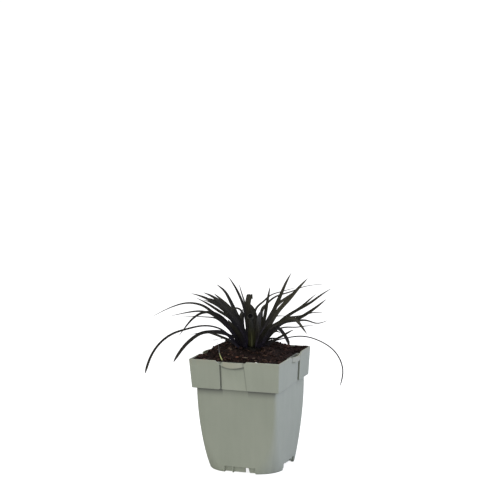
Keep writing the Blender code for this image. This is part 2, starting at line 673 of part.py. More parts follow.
def make_crown():
    distances = [CROWN_RADIUS * share for share in CROWN_RINGS]
    heights = [CROWN_HEIGHT - CROWN_SUNK] + [crown_height(distance) for distance in distances]
    turned = bmesh.new()
    loops = []
    for distance, height in zip([CROWN_RADIUS] + distances, heights):
        loops.append([(distance * math.cos(step * math.tau / CROWN_SEGMENTS),
                       distance * math.sin(step * math.tau / CROWN_SEGMENTS), height)
                      for step in range(CROWN_SEGMENTS)])
    add_loft(turned, loops)
    return add_object("crown", turned, material("crown_stem", (0.03, 0.03, 0.012), 0.8))


# Leaves

def smooth_line(points, shares):
    """Points at shares of the length of a natural cubic spline through the given points."""
    points = np.array(points, float)
    gaps = np.linalg.norm(np.diff(points, axis=0), axis=1)
    knots = np.concatenate(([0.0], np.cumsum(gaps)))
    slopes = np.diff(points, axis=0) / gaps[:, None]
    system = np.eye(len(points))
    bends = np.zeros_like(points)
    for i in range(1, len(points) - 1):
        system[i, i - 1:i + 2] = gaps[i - 1], 2.0 * (gaps[i - 1] + gaps[i]), gaps[i]
        bends[i] = 6.0 * (slopes[i] - slopes[i - 1])
    curve = np.linalg.solve(system, bends)
    line = []
    for place in np.array(shares) * knots[-1]:
        i = min(int(np.searchsorted(knots, place, side="right")) - 1, len(gaps) - 1)
        before = place - knots[i]
        after = knots[i + 1] - place
        line.append((curve[i] * after ** 3 + curve[i + 1] * before ** 3) / (6.0 * gaps[i])
                    + (points[i] / gaps[i] - curve[i] * gaps[i] / 6.0) * after
                    + (points[i + 1] / gaps[i] - curve[i + 1] * gaps[i] / 6.0) * before)
    return np.array(line)


def leaf_points(leaf, ground):
    """The base and the route as points of the model. The lean toward the viewer grows with the length."""
    middle = np.array([0.0, 0.0, ROUTE_HEIGHT])
    base = leaf.base[0] * MM * ACROSS + leaf.base[1] * MM * LEVEL_TOWARD
    base[2] = ground(base[0], base[1]) + LEAF_LIFT
    from_middle = base - middle
    flat = [(from_middle @ ACROSS, from_middle @ UPWARD)] + [(a * MM, u * MM) for a, u in leaf.route]
    lengths = np.linalg.norm(np.diff(np.array(flat), axis=0), axis=1)
    shares = np.cumsum(lengths) / lengths.sum()
    near = from_middle @ TOWARD
    points = [base]
    for (across, up), share in zip(flat[1:], shares):
        depth = blend(near, leaf.toward * MM, share)
        points.append(middle + across * ACROSS + up * UPWARD + depth * TOWARD)
    return points


def blade_reference(leaf):
    """A leaf that runs far along the view faces up, and any other one faces the viewer."""
    far_along_view = abs(leaf.toward) > max(LONG_REACH, 2.0 * abs(leaf.route[-1][0]))
    return UPWARD if far_along_view else TOWARD


def leaf_width(leaf, share):
    """Narrow at the base, widest from a quarter of the length, tapered to the tip."""
    swell = blend(LEAF_BASE_SHARE, 1.0, math.sin(min(1.0, share / LEAF_WIDEST_FROM) * math.pi / 2))
    taper = (1.0 - share ** leaf.taper) ** LEAF_TIP_SHAPE
    return leaf.width * MM * swell * taper


def leaf_solid(leaf, ground):
    """A keeled strap along the leaf's line. Its blade turns from facing the viewer toward facing up."""
    shares = list(np.linspace(0.0, LEAF_LAST_RING, LEAF_STEPS)) + [1.0]
    line = smooth_line(leaf_points(leaf, ground), shares)
    rightward = 1.0 if (line[-1] - line[0]) @ ACROSS > 0.0 else -1.0
    full_thick = LEAF_THICKNESS * min(1.0, leaf.width * MM / LEAF_FULL_THICK_WIDTH)
    reference = blade_reference(leaf)
    faced = reference
    strap = bmesh.new()
    rows = []
    for i, share in enumerate(shares[:-1]):
        ahead = line[i + 1] - line[max(i - 1, 0)]
        ahead /= np.linalg.norm(ahead)
        facing = reference - (reference @ ahead) * ahead
        facing /= np.linalg.norm(facing)
        if facing @ faced < 0.0:
            facing = -facing
        faced = facing
        side = np.cross(ahead, facing)
        turn = math.radians(leaf.turn + leaf.twist * share)
        side, normal = (side * math.cos(turn) + rightward * facing * math.sin(turn),
                        facing * math.cos(turn) - rightward * side * math.sin(turn))
        half = leaf_width(leaf, share) / 2
        thick = full_thick * (1.0 - LEAF_TIP_THINNING * share)
        keel = -thick * LEAF_KEEL_SHARE
        fold = half * 2 * LEAF_FOLD
        corners = ((-half, fold), (0.0, thick + keel), (half, fold), (0.0, keel))
        rows.append([strap.verts.new(line[i] + side * across + normal * up) for across, up in corners])
    tip = strap.verts.new(line[-1])
    for row, following in zip(rows, rows[1:]):
        for here in range(4):
            beside = (here + 1) % 4
            strap.faces.new((row[here], row[beside], following[beside]))
            strap.faces.new((row[here], following[beside], following[here]))
    strap.faces.new(rows[0])
    for here in range(4):
        strap.faces.new((rows[-1][here], rows[-1][(here + 1) % 4], tip))
    return strap


def on_crown(x, y):
    return crown_height(math.hypot(x, y))


def make_leaves():
    finish = material("leaf_black", (0.012, 0.012, 0.011), 0.45)
    for place, leaves in LEAVES.items():
        for number, leaf in enumerate(leaves, start=1):
            add_object(f"leaf_{place}_{number:02d}", leaf_solid(leaf, on_crown), finish)
    pale = material("sprout_green", (0.34, 0.38, 0.12), 0.5)
    add_object("sprout", leaf_solid(SPROUT, soil_height), pale)


clear_scene()
make_pot()
make_soil()
make_crown()
make_leaves()
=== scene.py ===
"""Looks of the potted black mondo grass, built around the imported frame.

Metres, +Z up, in the same frame as the solids. The pot's four sides face -Y, +X, +Y and -X.
"""

import math
import random
from collections import namedtuple

import bmesh
import bpy
import numpy as np
from mathutils import Euler, Matrix, Vector, noise


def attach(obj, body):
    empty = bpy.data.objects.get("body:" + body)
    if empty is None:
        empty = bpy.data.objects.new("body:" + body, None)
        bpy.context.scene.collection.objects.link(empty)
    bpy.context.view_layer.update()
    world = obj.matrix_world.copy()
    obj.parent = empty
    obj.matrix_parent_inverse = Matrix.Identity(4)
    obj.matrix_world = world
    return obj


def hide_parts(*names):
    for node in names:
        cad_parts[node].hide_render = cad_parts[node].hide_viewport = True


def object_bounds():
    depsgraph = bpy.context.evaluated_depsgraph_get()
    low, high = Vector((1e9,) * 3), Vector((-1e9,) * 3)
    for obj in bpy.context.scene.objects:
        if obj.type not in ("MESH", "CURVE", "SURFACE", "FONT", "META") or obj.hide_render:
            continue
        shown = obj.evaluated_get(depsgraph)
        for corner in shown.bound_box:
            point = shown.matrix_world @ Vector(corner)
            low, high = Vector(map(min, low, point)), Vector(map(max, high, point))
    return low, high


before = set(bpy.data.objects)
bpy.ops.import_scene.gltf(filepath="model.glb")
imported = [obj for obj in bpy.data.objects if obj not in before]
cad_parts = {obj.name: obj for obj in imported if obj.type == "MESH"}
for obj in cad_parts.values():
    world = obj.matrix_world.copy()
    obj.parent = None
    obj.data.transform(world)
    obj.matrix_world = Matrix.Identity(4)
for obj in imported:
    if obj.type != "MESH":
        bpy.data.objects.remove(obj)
CAD_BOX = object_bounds()

MM = 0.001
GAP = 0.3 * MM
# Edges that turn by more than this, in degrees, stay sharp
POT_SHARP = 32.0
SOIL_SHARP = 35.0
LEAF_SHARP = 50.0
CROWN_SHARP = 40.0

# Camera: heading from -Y, height above the horizon and turns in degrees, and lens in millimetres
CAMERA_HEADING = 21.11
CAMERA_HEIGHT = 13.70
CAMERA_DISTANCE = 1269.0 * MM
CAMERA_TARGET = (0.0, 0.0, 60.0 * MM)
CAMERA_PAN = 0.04
CAMERA_TILT = 6.69
CAMERA_ROLL = -0.97
CAMERA_LENS = 93.53
CAMERA_SENSOR = 36.0
CAMERA_NEAREST = 0.05

# Pot, as in the solids
POT_HEIGHT = 109.5 * MM
RIM_HALF = 45.65 * MM
COLLAR_HEIGHT = 28.0 * MM
COLLAR_DRAFT = 1.8 * MM
COLLAR_RADIUS = 1.0 * MM
RIM_ROUND = 0.5 * MM
COLLAR_EDGE_ROUND = 0.5 * MM
LEAST_RADIUS = 0.4 * MM
WALL = 1.3 * MM
BODY_HALF_TOP = 41.0 * MM
BODY_HALF_FOOT = 37.3 * MM
BODY_RADIUS_TOP = 4.0 * MM
BODY_RADIUS_FOOT = 25.0 * MM
FOOT_ROUND = 0.9 * MM
FOOT_TURN_IN = 0.5 * MM
FOOT_RING = 3.0 * MM
FLOOR_UNDERSIDE = 6.4 * MM
FLOOR_TOP = 7.8 * MM
CORNER_STEPS = 16
EDGE_STEPS = 4
BODY_STEPS = 26
DRAIN_RADIUS = 4.0 * MM
DRAIN_CIRCLE = 17.0 * MM
DRAIN_SEGMENTS = 32

POCKET_LEFT = -13.5 * MM
POCKET_RIGHT = 9.8 * MM
POCKET_SLANT = 2.4 * MM
POCKET_END = 0.7 * MM
RECESS_LEFT = 1.4 * MM
RECESS_RIGHT = 0.9 * MM
GROOVE_WIDTH = 1.0 * MM
GROOVE_DEPTH = 1.9 * MM
GROOVE_JOIN = 0.05 * MM
PANEL_CORNER = 3.0 * MM
LIP_CENTRE = -1.3 * MM
LIP_HALF_LENGTH = 11.9 * MM
LIP_BULGE = 2.7 * MM
LIP_TUCK = 0.6 * MM
LIP_DROP = 1.0 * MM
LIP_HEIGHT_MIDDLE = 5.3 * MM
LIP_HEIGHT_END = 3.7 * MM
LIP_WALL = 1.1 * MM
LIP_BACK = 2.3 * MM
LIP_ROUND = 0.4 * MM
LIP_STATIONS = 25
RECESS_STATIONS = 15
PANEL_CORNER_STEPS = 10
LEFT_NOTCH = (-5.6 * MM, -0.8 * MM, 2.6 * MM)
LEFT_NOTCH_DEPTH = 3.6 * MM
RIGHT_NOTCH = (-0.6 * MM, 0.4 * MM, 3.0 * MM)
RIGHT_NOTCH_DEPTH = 2.2 * MM
INNER_WALL = 40.6 * MM
INNER_WALL_DROP = 2.0 * MM
INNER_WALL_LEFT = -18.5 * MM
INNER_WALL_RIGHT = 15.0 * MM
SLOT_INNER = 41.4 * MM
SLOT_HALF_LENGTH = 10.9 * MM
SLOT_DEPTH = 15.0 * MM
POCKET_SKIN = 0.9 * MM

FOOT_SLOT_LEFT = -14.5 * MM
FOOT_SLOT_RIGHT = 16.7 * MM
FOOT_SLOT_HEIGHT = 6.0 * MM
FOOT_SLOT_DEPTH = 1.7 * MM
FOOT_RIB = -6.0 * MM
FOOT_RIB_WIDTH = 0.9 * MM
FOOT_LIFT = 0.8 * MM
SHORT_SLOT_STATIONS = 8
LONG_SLOT_STATIONS = 18
OPENING_LEFT = 6.2 * MM
OPENING_RIGHT = 9.4 * MM
OPENING_FLARE = 1.6 * MM
OPENING_HEIGHT = 5.2 * MM
OPENING_REACH = 6.6 * MM
SIDE_GAP_LEFT = -14.0 * MM
SIDE_GAP_LOW = 3.0 * MM
SIDE_GAP_HIGH = 4.2 * MM

# Soil, as in the solids, with finer lumps and loose pieces of bark
SOIL_EDGE_DROP = 1.2 * MM
SOIL_MOUND = 8.0 * MM
SOIL_MOUND_REACH = 44.0 * MM
SOIL_MOUND_MIDDLE = (-3.0 * MM, 7.0 * MM)
SOIL_MOUND_SHAPE = 3.5
SOIL_WAVES = ((0.3, 11.0), (1.4, 8.5), (2.5, 9.5), (0.9, 6.0), (2.0, 5.2))
SOIL_LUMP_HEIGHT = 0.045
SOIL_RINGS = 64
SOIL_POINTS = 240
SOIL_LEVELS = (0.2, 0.4, 0.7)
SOIL_CRUMB = 0.55 * MM
SOIL_INNER = 9.9 * MM
SOIL_DIP = 4.0 * MM
SOIL_SEED = 41
BARK_COUNT = 1250
BARK_SMALLEST = 0.7 * MM
BARK_LARGEST = 3.6 * MM
FIBRE_COUNT = 70

# Crown, as in the solids, with stubs of old leaf sheaths on it, whose ranges are in millimetres
CROWN_HEIGHT = 115.0 * MM
CROWN_RADIUS = 16.5 * MM
CROWN_DOME = 2.2 * MM
CROWN_SUNK = 3.0 * MM
CROWN_SEGMENTS = 72
CROWN_RINGS = 14
CROWN_CLOSED = 0.96
CROWN_CRUMBS = 0.8
CROWN_SEED = 19
SHEATH_COUNT = 90
SHEATH_STEPS = 4
SHEATH_HEIGHTS = (2.5, 7.0)
SHEATH_WIDTHS = (0.8, 1.9)
SHEATH_SUNK = 0.8 * MM
SHEATH_THICKNESS = 0.22 * MM

# Leaves: their straps, as in the solids, the rolled end of one and the torn end of another
LEAF_THICKNESS = 0.8 * MM
LEAF_TIP_THINNING = 0.5
LEAF_FULL_THICK_WIDTH = 3.2 * MM
LEAF_KEEL_SHARE = 0.7
LEAF_FOLD = 0.10
LEAF_FOLD_SHAPE = 1.4
LEAF_BASE_SHARE = 0.9
LEAF_WIDEST_FROM = 0.25
LEAF_TIP_SHAPE = 0.9
LEAF_STEPS = 44
LEAF_LAST_RING = 0.985
LEAF_SIDE_STEPS = 4
LEAF_SUNK = 1.6 * MM
LEAF_WAVER = 6.0
LEAF_WIDTH_WAVE = 0.03
LEAF_SEED = 7
ROLL_RADIUS = 2.5 * MM
ROLL_THICKNESS = 0.4 * MM
ROLL_LENGTH = 3.2 * MM
ROLL_SHIFT = 0.7 * MM
ROLL_TURNS = 1.2
ROLL_STEPS = 28
ROLL_START = 0.8
ROLL_FACING = (0.94, 0.34)
# The black disc set in the rolled end's hollow as painted shade: its radius against the roll's, and its
# depths against the roll's length
SHADE_DISC_RADIUS = 0.85
SHADE_DISC_DEPTHS = (0.2, 0.35)
HOOK_OUTLINE = ((0.9, -0.1), (2.5, -0.1), (2.8, -4.6), (1.5, -4.9))
HOOK_DEPTHS = (0.3 * MM, -0.2 * MM)
ROUTE_HEIGHT = 114.0 * MM
FRONT_HEADING = math.radians(21.1)
FRONT_RAISED = math.radians(11.3)
ACROSS = np.array([math.cos(FRONT_HEADING), math.sin(FRONT_HEADING), 0.0])
LEVEL_TOWARD = np.array([math.sin(FRONT_HEADING), -math.cos(FRONT_HEADING), 0.0])
TOWARD = LEVEL_TOWARD * math.cos(FRONT_RAISED) + np.array([0.0, 0.0, math.sin(FRONT_RAISED)])
UPWARD = np.cross(TOWARD, ACROSS)
# A leaf whose tip lies further than this along the view, in millimetres, can be seen end on
LONG_REACH = 40.0

# Each leaf, in millimetres from the routes' origin: its base (across, toward the viewer), the lean of its
# tip toward the viewer, its width, the turn of its blade at the base, from facing the viewer toward facing
# up, and the twist up to its tip, both in degrees, how late it tapers, and the points (across, up) that it
# passes through up to its tip. All is as in the solids, but the drooping leaves left_01, left_02 and
# right_16 turn or twist a little otherwise here, and keep their width nearly to the tip
Leaf = namedtuple("Leaf", "base toward width turn twist taper route")
LEFT_LEAVES = (
    Leaf((-13.5, 2), 22, 2.8, 60, -30, 40,
         ((-26, 16.5), (-45.5, 21.5), (-59.5, 19), (-74, 14.5), (-86, 6), (-95.5, -8), (-100.5, -23))),
    Leaf((-12, 7.5), 48, 3.8, 32, 0, 18,
         ((-27, 15), (-37, 15.5), (-45.5, 14.5), (-53, 10.5), (-63, 1), (-72, -12.5))),
    Leaf((-10.5, -6.5), -35, 3.8, 25, 30, 6,
         ((-23.5, 25.5), (-36.5, 34.5), (-46, 35), (-56.5, 29.5), (-64.5, 21), (-71.5, 12.5))),
    Leaf((-9, 1.5), 10, 3.9, 25, 55, 8,
         ((-27, 27), (-36.5, 34.5), (-44, 40), (-52.5, 43), (-61.5, 43.5), (-71, 41.5), (-93, 32))),
    Leaf((-10.5, -2), -12, 3.9, 22, 58, 6,
         ((-21.5, 19.5), (-32, 29), (-40, 34), (-50.5, 36), (-61.5, 35), (-77, 32.5))),
    Leaf((-12.5, -6), -50, 2.6, 30, 50, 6,
         ((-17.5, 14), (-25, 22), (-35, 29.5), (-44.5, 31), (-55, 32), (-68.5, 32))),
    Leaf((-7, 5.5), 34, 4.7, 15, 40, 6,
         ((-15.5, 26.5), (-21, 35.5), (-32, 42), (-42.5, 47.5), (-55.5, 52))),
    Leaf((-7.5, -3.5), -25, 3.6, 20, 32, 6,
         ((-14.5, 21.5), (-20, 29), (-28, 34.5), (-35.5, 39.5), (-44, 45), (-53, 50))),
    Leaf((-5, 8.5), 50, 4.6, 15, 25, 7, ((-9.5, 19), (-18, 32.5), (-27, 42), (-35, 48), (-43.5, 52))),
    Leaf((-4.5, -6.5), -32, 3.6, 20, 15, 7,
         ((-9, 19.5), (-14.5, 32), (-20.5, 40), (-27, 46.5), (-36, 54.5))),
    Leaf((-4, 2.5), 18, 3.8, 20, 5, 6, ((-9.5, 24), (-14, 34.5), (-19, 45), (-24, 54), (-32, 61))),
    Leaf((-2.5, -3.5), -15, 3.6, 30, 10, 6,
         ((-3.5, 22), (-5, 33.5), (-6.5, 40.5), (-10, 50), (-14.5, 59.5), (-21, 70))),
    Leaf((-1, -8), -50, 3.4, 35, 0, 6, ((-3.5, 29), (-5.5, 44.5), (-8, 53.5), (-10.5, 64))),
    Leaf((-13.5, -3), -20, 2.4, 45, 20, 5, ((-23.5, 14), (-36.5, 15.5), (-46, 15.5), (-60, 13.5))),
    Leaf((-10, 11), 58, 3.2, 35, 10, 7, ((-21, 7.5), (-26.5, 10), (-33, 12.5), (-39, 14))),
    Leaf((-11, -9), -62, 1.4, 50, 30, 5, ((-17, 8), (-26, 9.5), (-43, 7))),
    Leaf((-1.5, 5.5), 27, 3.6, 20, 50, 6,
         ((-6.5, 16), (-7.5, 26.5), (-7.5, 32.5), (-9.5, 36), (-13, 37.5), (-18, 36), (-25, 29.5))),
    Leaf((-8, -0.5), -5, 4.0, 15, 45, 6, ((-13.5, 19), (-20, 30.5), (-27, 37.5), (-35.5, 43), (-46, 47.5))),
    Leaf((-6, 2), 4, 4.4, 15, 15, 6, ((-12, 19), (-19.5, 32), (-25, 39.5), (-31.5, 44.5), (-40, 48.5))),
    Leaf((-9.5, 5), 15, 3.2, 35, 15, 6, ((-14, 9), (-20.5, 12), (-27, 13.5), (-36.5, 14.5))),
)
RIGHT_LEAVES = (
    Leaf((4, 1), 8, 4.6, 25, 10, 5, ((18, 25.5), (24.5, 38.5), (30.5, 51.5), (35, 61.5), (40.5, 71.5))),
    Leaf((7, 5), 26, 5.2, 30, 10, 6, ((21, 25.5), (28, 35.5), (37, 45), (45.5, 54.5), (55.5, 65))),
    Leaf((7, -5), -20, 4.0, 30, 10, 6,
         ((17.5, 26.5), (23, 36), (27, 41.5), (31.5, 45), (38.5, 50), (47, 56))),
    Leaf((3, -5.5), -15, 4.0, 30, 5, 5, ((12.5, 22), (15, 33), (17, 44), (20, 59.5))),
    Leaf((4, -14), -46, 3.2, 20, 35, 2.5,
         ((4, 27), (6.5, 39), (13, 45), (20, 51), (30.5, 55), (46.5, 59.5))),
    Leaf((7, -10), -36, 3.4, 20, 65, 3,
         ((10, 29), (14, 39.5), (18, 44), (25.5, 49.5), (39.5, 54), (51, 58.5), (73.5, 62))),
    Leaf((9.5, 0), 10, 3.9, 30, 20, 6,
         ((31, 26), (41.5, 33), (53, 39), (59, 42.5), (67.5, 48.5), (78.5, 55.5))),
    Leaf((10, 7.5), 44, 3.4, 35, 15, 6, ((32, 27), (45.5, 35.5), (51.5, 40), (55.5, 43.5), (62, 49))),
    Leaf((12, 2.5), 20, 4.2, 35, 5, 7, ((28.5, 23.5), (43.5, 26), (53, 30.5), (63.5, 37.5), (73, 45))),
    Leaf((10.5, -5), -30, 3.6, 30, 40, 7, ((25.5, 22.5), (38, 28.5), (49.5, 30), (60.5, 33), (72, 33.5))),
    Leaf((11.5, -7.5), -43, 4.2, 15, 60, 7,
         ((25.5, 19), (33.5, 24), (45.5, 25.5), (56.5, 25.5), (65, 23), (77.5, 26))),
    Leaf((10, 9.5), 50, 4.0, 25, 0, 7,
         ((19, 18), (27.5, 23), (33, 25.5), (37.5, 27), (42.5, 25), (47.5, 19), (52.5, 11.5))),
    Leaf((13.5, -2), -18, 2.8, 40, 30, 6, ((25, 16.5), (34.5, 19), (45, 19), (53.5, 20), (62.5, 20.5))),
    Leaf((13.5, 5), 16, 3.0, 35, 5, 7, ((23.5, 7), (33, 12), (37.5, 14.5), (41.5, 16.5))),
    Leaf((9, -11), -29, 3.8, 20, 5, 30, ((20.5, 17), (27, 18.5), (31, 15), (35, 9), (38, 2))),
    Leaf((14.5, 1.5), 1, 1.5, 40, -15, 30,
         ((23.5, 6), (33.5, 8.5), (50, 10), (67, 5), (81.5, -6), (88.15, -24), (85, -39))),
    Leaf((7, -1.5), -2, 3.6, 30, 45, 5, ((13.5, 20.5), (20, 28.5), (27, 30), (35, 30))),
    Leaf((12.5, 8), 17, 3.2, 35, 0, 6, ((17, 9), (20, 12.5), (24, 15), (28.5, 13.5))),
    Leaf((5, -1), -4, 4.4, 15, 25, 6, ((8, 12), (10.5, 23.5), (11, 33.5), (13.5, 40), (16.5, 42.5))),
)
MIDDLE_LEAVES = (
    Leaf((-1, 0.5), 6, 5.4, 5, 0, 150, ((-2, 19), (-2, 33.5), (-2, 42), (0, 51.5))),
    Leaf((1, 8), 75, 7.4, 0, 0, 3, ((1, 12), (0.5, 21), (-0.5, 29.5))),
    Leaf((6.5, 10), 56, 4.8, 15, 0, 8, ((6.5, 12), (7.5, 21), (8.5, 29), (10, 34))),
    Leaf((3, 4), 18, 5.4, 5, 0, 10, ((5, 18.5), (4, 30), (2, 37), (-0.5, 42))),
    Leaf((7.5, 11.5), 62, 4.6, 10, 0, 5, ((11, 10.5), (15.5, 17), (21, 22.5))),
    Leaf((-5.5, 11.5), 70, 5.4, 10, 0, 5, ((-10.5, 12), (-16.5, 20), (-20.5, 26))),
    Leaf((-5, -9.5), -38, 5.4, 10, 0, 6, ((-9.5, 16.5), (-9.5, 27.5), (-7.5, 38.5))),
    Leaf((0, 2.5), 12, 5.0, 10, 0, 5, ((1, 19), (0.5, 28.5), (0, 37))),
)
BACK_LEAVES = (
    Leaf((-4, -13), -78, 3.2, 0, 0, 4, ((-6, 17.5), (-12.5, 22.5), (-16, 14))),
    Leaf((0, -14), -70, 3.2, 0, 0, 4, ((0.5, 18), (1.5, 22.5), (2, 13))),
    Leaf((8, -13.5), -62, 3.2, 0, 0, 4, ((11.5, 17), (17, 21), (22, 12.5))),
    Leaf((-8, -12), -66, 3.4, 10, 0, 4, ((-12, 17.5), (-20.5, 24.5), (-27.5, 27))),
    Leaf((13, -8.5), -24, 2.0, 20, 20, 7, ((20, 8.5), (25.5, 8.5), (32, 10))),
    Leaf((-3, -11), -50, 3.4, 10, 0, 4, ((-2.5, 22.5), (-2.5, 34))),
)
LEAVES = {"left": LEFT_LEAVES, "right": RIGHT_LEAVES, "middle": MIDDLE_LEAVES, "back": BACK_LEAVES}
SPROUT = Leaf((-26, 34), 20, 1.4, 20, 40, 0.8, ((-30, -3), (-31, 4), (-36.5, 9), (-43, 12.5)))


# Mesh helpers


def blend(low, high, share):
    return low + (high - low) * share


def clamp(value, low, high):
    return max(low, min(high, value))


def add_object(name, mesh_data):
    bmesh.ops.recalc_face_normals(mesh_data, faces=mesh_data.faces)
    mesh = bpy.data.meshes.new(name)
    mesh_data.to_mesh(mesh)
    mesh_data.free()
    thing = bpy.data.objects.new(name, mesh)
    bpy.context.scene.collection.objects.link(thing)
    return thing


def add_loft(mesh_data, loops, capped=True):
    """Joins closed loops of equal length, one after the other."""
    rows = [[mesh_data.verts.new(point) for point in loop] for loop in loops]
    for row, following in zip(rows, rows[1:]):
        for here in range(len(row)):
            beside = (here + 1) % len(row)
            mesh_data.faces.new((row[here], row[beside], following[beside], following[here]))
    if capped:
        mesh_data.faces.new(rows[0])
        mesh_data.faces.new(rows[-1])
    return rows


def finish(piece, material, sharp_angle, slot, *nodes):
    """Smooth shading with sharp edges kept, the piece's material and body, and its CAD nodes hidden. The
    slot is not used.
    """
    piece.data.materials.clear()
    piece.data.materials.append(material)
    for face in piece.data.polygons:
        face.use_smooth = True
    piece.data.set_sharp_from_angle(angle=math.radians(sharp_angle))
    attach(piece, "root")
    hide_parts(*nodes)


# Material helpers

NOISE_ROUGHNESS = 0.55


class Value:
    """What a node gives out: a number or a colour that varies, and that can be reckoned with."""

    def __init__(self, made, socket):
        self.made = made
        self.socket = socket

    def maths(self, operation, first, second=0.0):
        """The result of a node that works with one or two numbers."""
        return outputs(self.made, "ShaderNodeMath", {"operation": operation}, i0=first, i1=second)[0]

    def __add__(self, other):
        return self.maths("ADD", self, other)

    def __sub__(self, other):
        return self.maths("SUBTRACT", self, other)

    def __rsub__(self, other):
        return self.maths("SUBTRACT", other, self)

    def __mul__(self, other):
        return self.maths("MULTIPLY", self, other)

    def __truediv__(self, other):
        return self.maths("DIVIDE", self, other)

    def __abs__(self):
        return self.maths("ABSOLUTE", self)

    def larger(self, other):
        return self.maths("MAXIMUM", self, other)

    def sine(self):
        return self.maths("SINE", self)

    def ramp(self, low, high, to_low=0.0, to_high=1.0):
        """This number, carried over from one range to another and held at its ends."""
        return outputs(self.made, "ShaderNodeMapRange", i0=self, i1=low, i2=high, i3=to_low, i4=to_high)[0]

    def mixed(self, other, share, how="MIX"):
        """This colour, changed toward another one by a share."""
        settings = {"data_type": "RGBA", "blend_type": how}
        return outputs(self.made, "ShaderNodeMix", settings, i0=share, i6=self, i7=other)[2]

    def shaded(self, shade):
        """This colour, made lighter or darker."""
        return self.mixed(shade, 1.0, "MULTIPLY")


def feed(node, **inputs):
    """Sets a node's sockets, each named in full or as i and its number."""
    for key, value in inputs.items():
        socket = node.inputs[int(key[1:]) if key[1:].isdigit() else key.replace("_", " ")]
        if isinstance(value, Value):
            value.made.node_tree.links.new(value.socket, socket)
        else:
            socket.default_value = value


def add_node(made, kind, settings=None, **inputs):
    node = made.node_tree.nodes.new(kind)
    for key, value in (settings or {}).items():
        setattr(node, key, value)
    feed(node, **inputs)
    return node


def outputs(made, kind, settings=None, **inputs):
    """A new node's outputs."""
    return [Value(made, socket) for socket in add_node(made, kind, settings, **inputs).outputs]


def new_material(name, roughness, specular):
    made = bpy.data.materials.new(name)
    made.use_nodes = True
    shader = made.node_tree.nodes["Principled BSDF"]
    feed(shader, Roughness=roughness, Specular_IOR_Level=specular)
    return made, shader


def object_place(made):
    return Value(made, add_node(made, "ShaderNodeTexCoord").outputs["Object"])


def attribute(made, name):
    """A colour layer's colour and its fourth number."""
    node = add_node(made, "ShaderNodeAttribute", {"attribute_name": name})
    return Value(made, node.outputs["Color"]), Value(made, node.outputs["Alpha"])


def noise_at(place, scale, detail=3.0):
    kind = "ShaderNodeTexNoise"
    return outputs(place.made, kind, Vector=place, Scale=scale, Detail=detail, Roughness=NOISE_ROUGHNESS)[0]


def patches(share, first, second):
    """Two plain colours, mixed by a share."""
    settings = {"data_type": "RGBA"}
    return outputs(share.made, "ShaderNodeMix", settings, i0=share, i6=first, i7=second)[2]


def bump(height, distance, strength, **under):
    kind = "ShaderNodeBump"
    return outputs(height.made, kind, Height=height, Distance=distance, Strength=strength, **under)[0]


def for_camera(made, light, shown, end):
    """One shader as light, and another one that only the camera sees."""
    seen = Value(made, add_node(made, "ShaderNodeLightPath").outputs["Is Camera Ray"])
    both = outputs(made, "ShaderNodeMixShader", i0=seen, i1=light, i2=shown)[0]
    feed(made.node_tree.nodes[end], Surface=both)


# Pot

COLLAR_BOTTOM = POT_HEIGHT - COLLAR_HEIGHT
FAR_OUT = 50.0 * MM
OVER = 1.0 * MM
IN_WALL = 0.7 * MM
LIP_OVERLAP = 0.5 * MM
RUN_OUT = 0.3 * MM


def body_half(z):
    """The sides bow in gently from the collar and stand upright at the foot."""
    return blend(BODY_HALF_FOOT, BODY_HALF_TOP, (1.0 - math.cos(math.pi * z / COLLAR_BOTTOM)) / 2)


def body_radius(z):
    """The corners open from tight at the collar to widely rounded at the foot."""
    return blend(BODY_RADIUS_TOP, BODY_RADIUS_FOOT, (1.0 - z / COLLAR_BOTTOM) ** 4)


def collar_half(z):
    return RIM_HALF - COLLAR_DRAFT * (POT_HEIGHT - z) / COLLAR_HEIGHT


def around(count):
    """Angles all round, from zero."""
    return [step * math.tau / count for step in range(count)]


def quarter(count):
    """Angles of a quarter turn, from zero to its end."""
    return [step * math.pi / 2 / count for step in range(count + 1)]


def square_loop(half, radius, z):
    """A square with rounded corners, counter-clockwise, at height z."""
    radius = max(radius, LEAST_RADIUS)
    loop = []
    for start in around(4):
        middle = start + math.pi / 4
        centre = Vector((math.cos(middle), math.sin(middle))) * (half - radius) * math.sqrt(2)
        for turn in quarter(CORNER_STEPS):
            angle = start + turn
            loop.append((centre.x + radius * math.cos(angle), centre.y + radius * math.sin(angle), z))
    return loop


def body_loop(z, inset):
    return square_loop(body_half(z) - inset, body_radius(z) - inset, z)


def collar_loop(z, inset):
    return square_loop(collar_half(z) - inset, COLLAR_RADIUS - inset, z)


def body_face(along, z):
    """How far out the body's outer face is, at a place along a side."""
    half = body_half(z)
    radius = body_radius(z)
    past_flat = max(0.0, abs(along) - (half - radius))
    return half - radius + math.sqrt(radius ** 2 - past_flat ** 2)


def on_side(side, along, out, z):
    """A point from its place along a side, out from the axis and up. Every second side is mirrored."""
    flip = -1.0 if side % 2 else 1.0
    angle = side * math.pi / 2
    x = along * flip
    y = -out
    return (x * math.cos(angle) - y * math.sin(angle), x * math.sin(angle) + y * math.cos(angle), z)


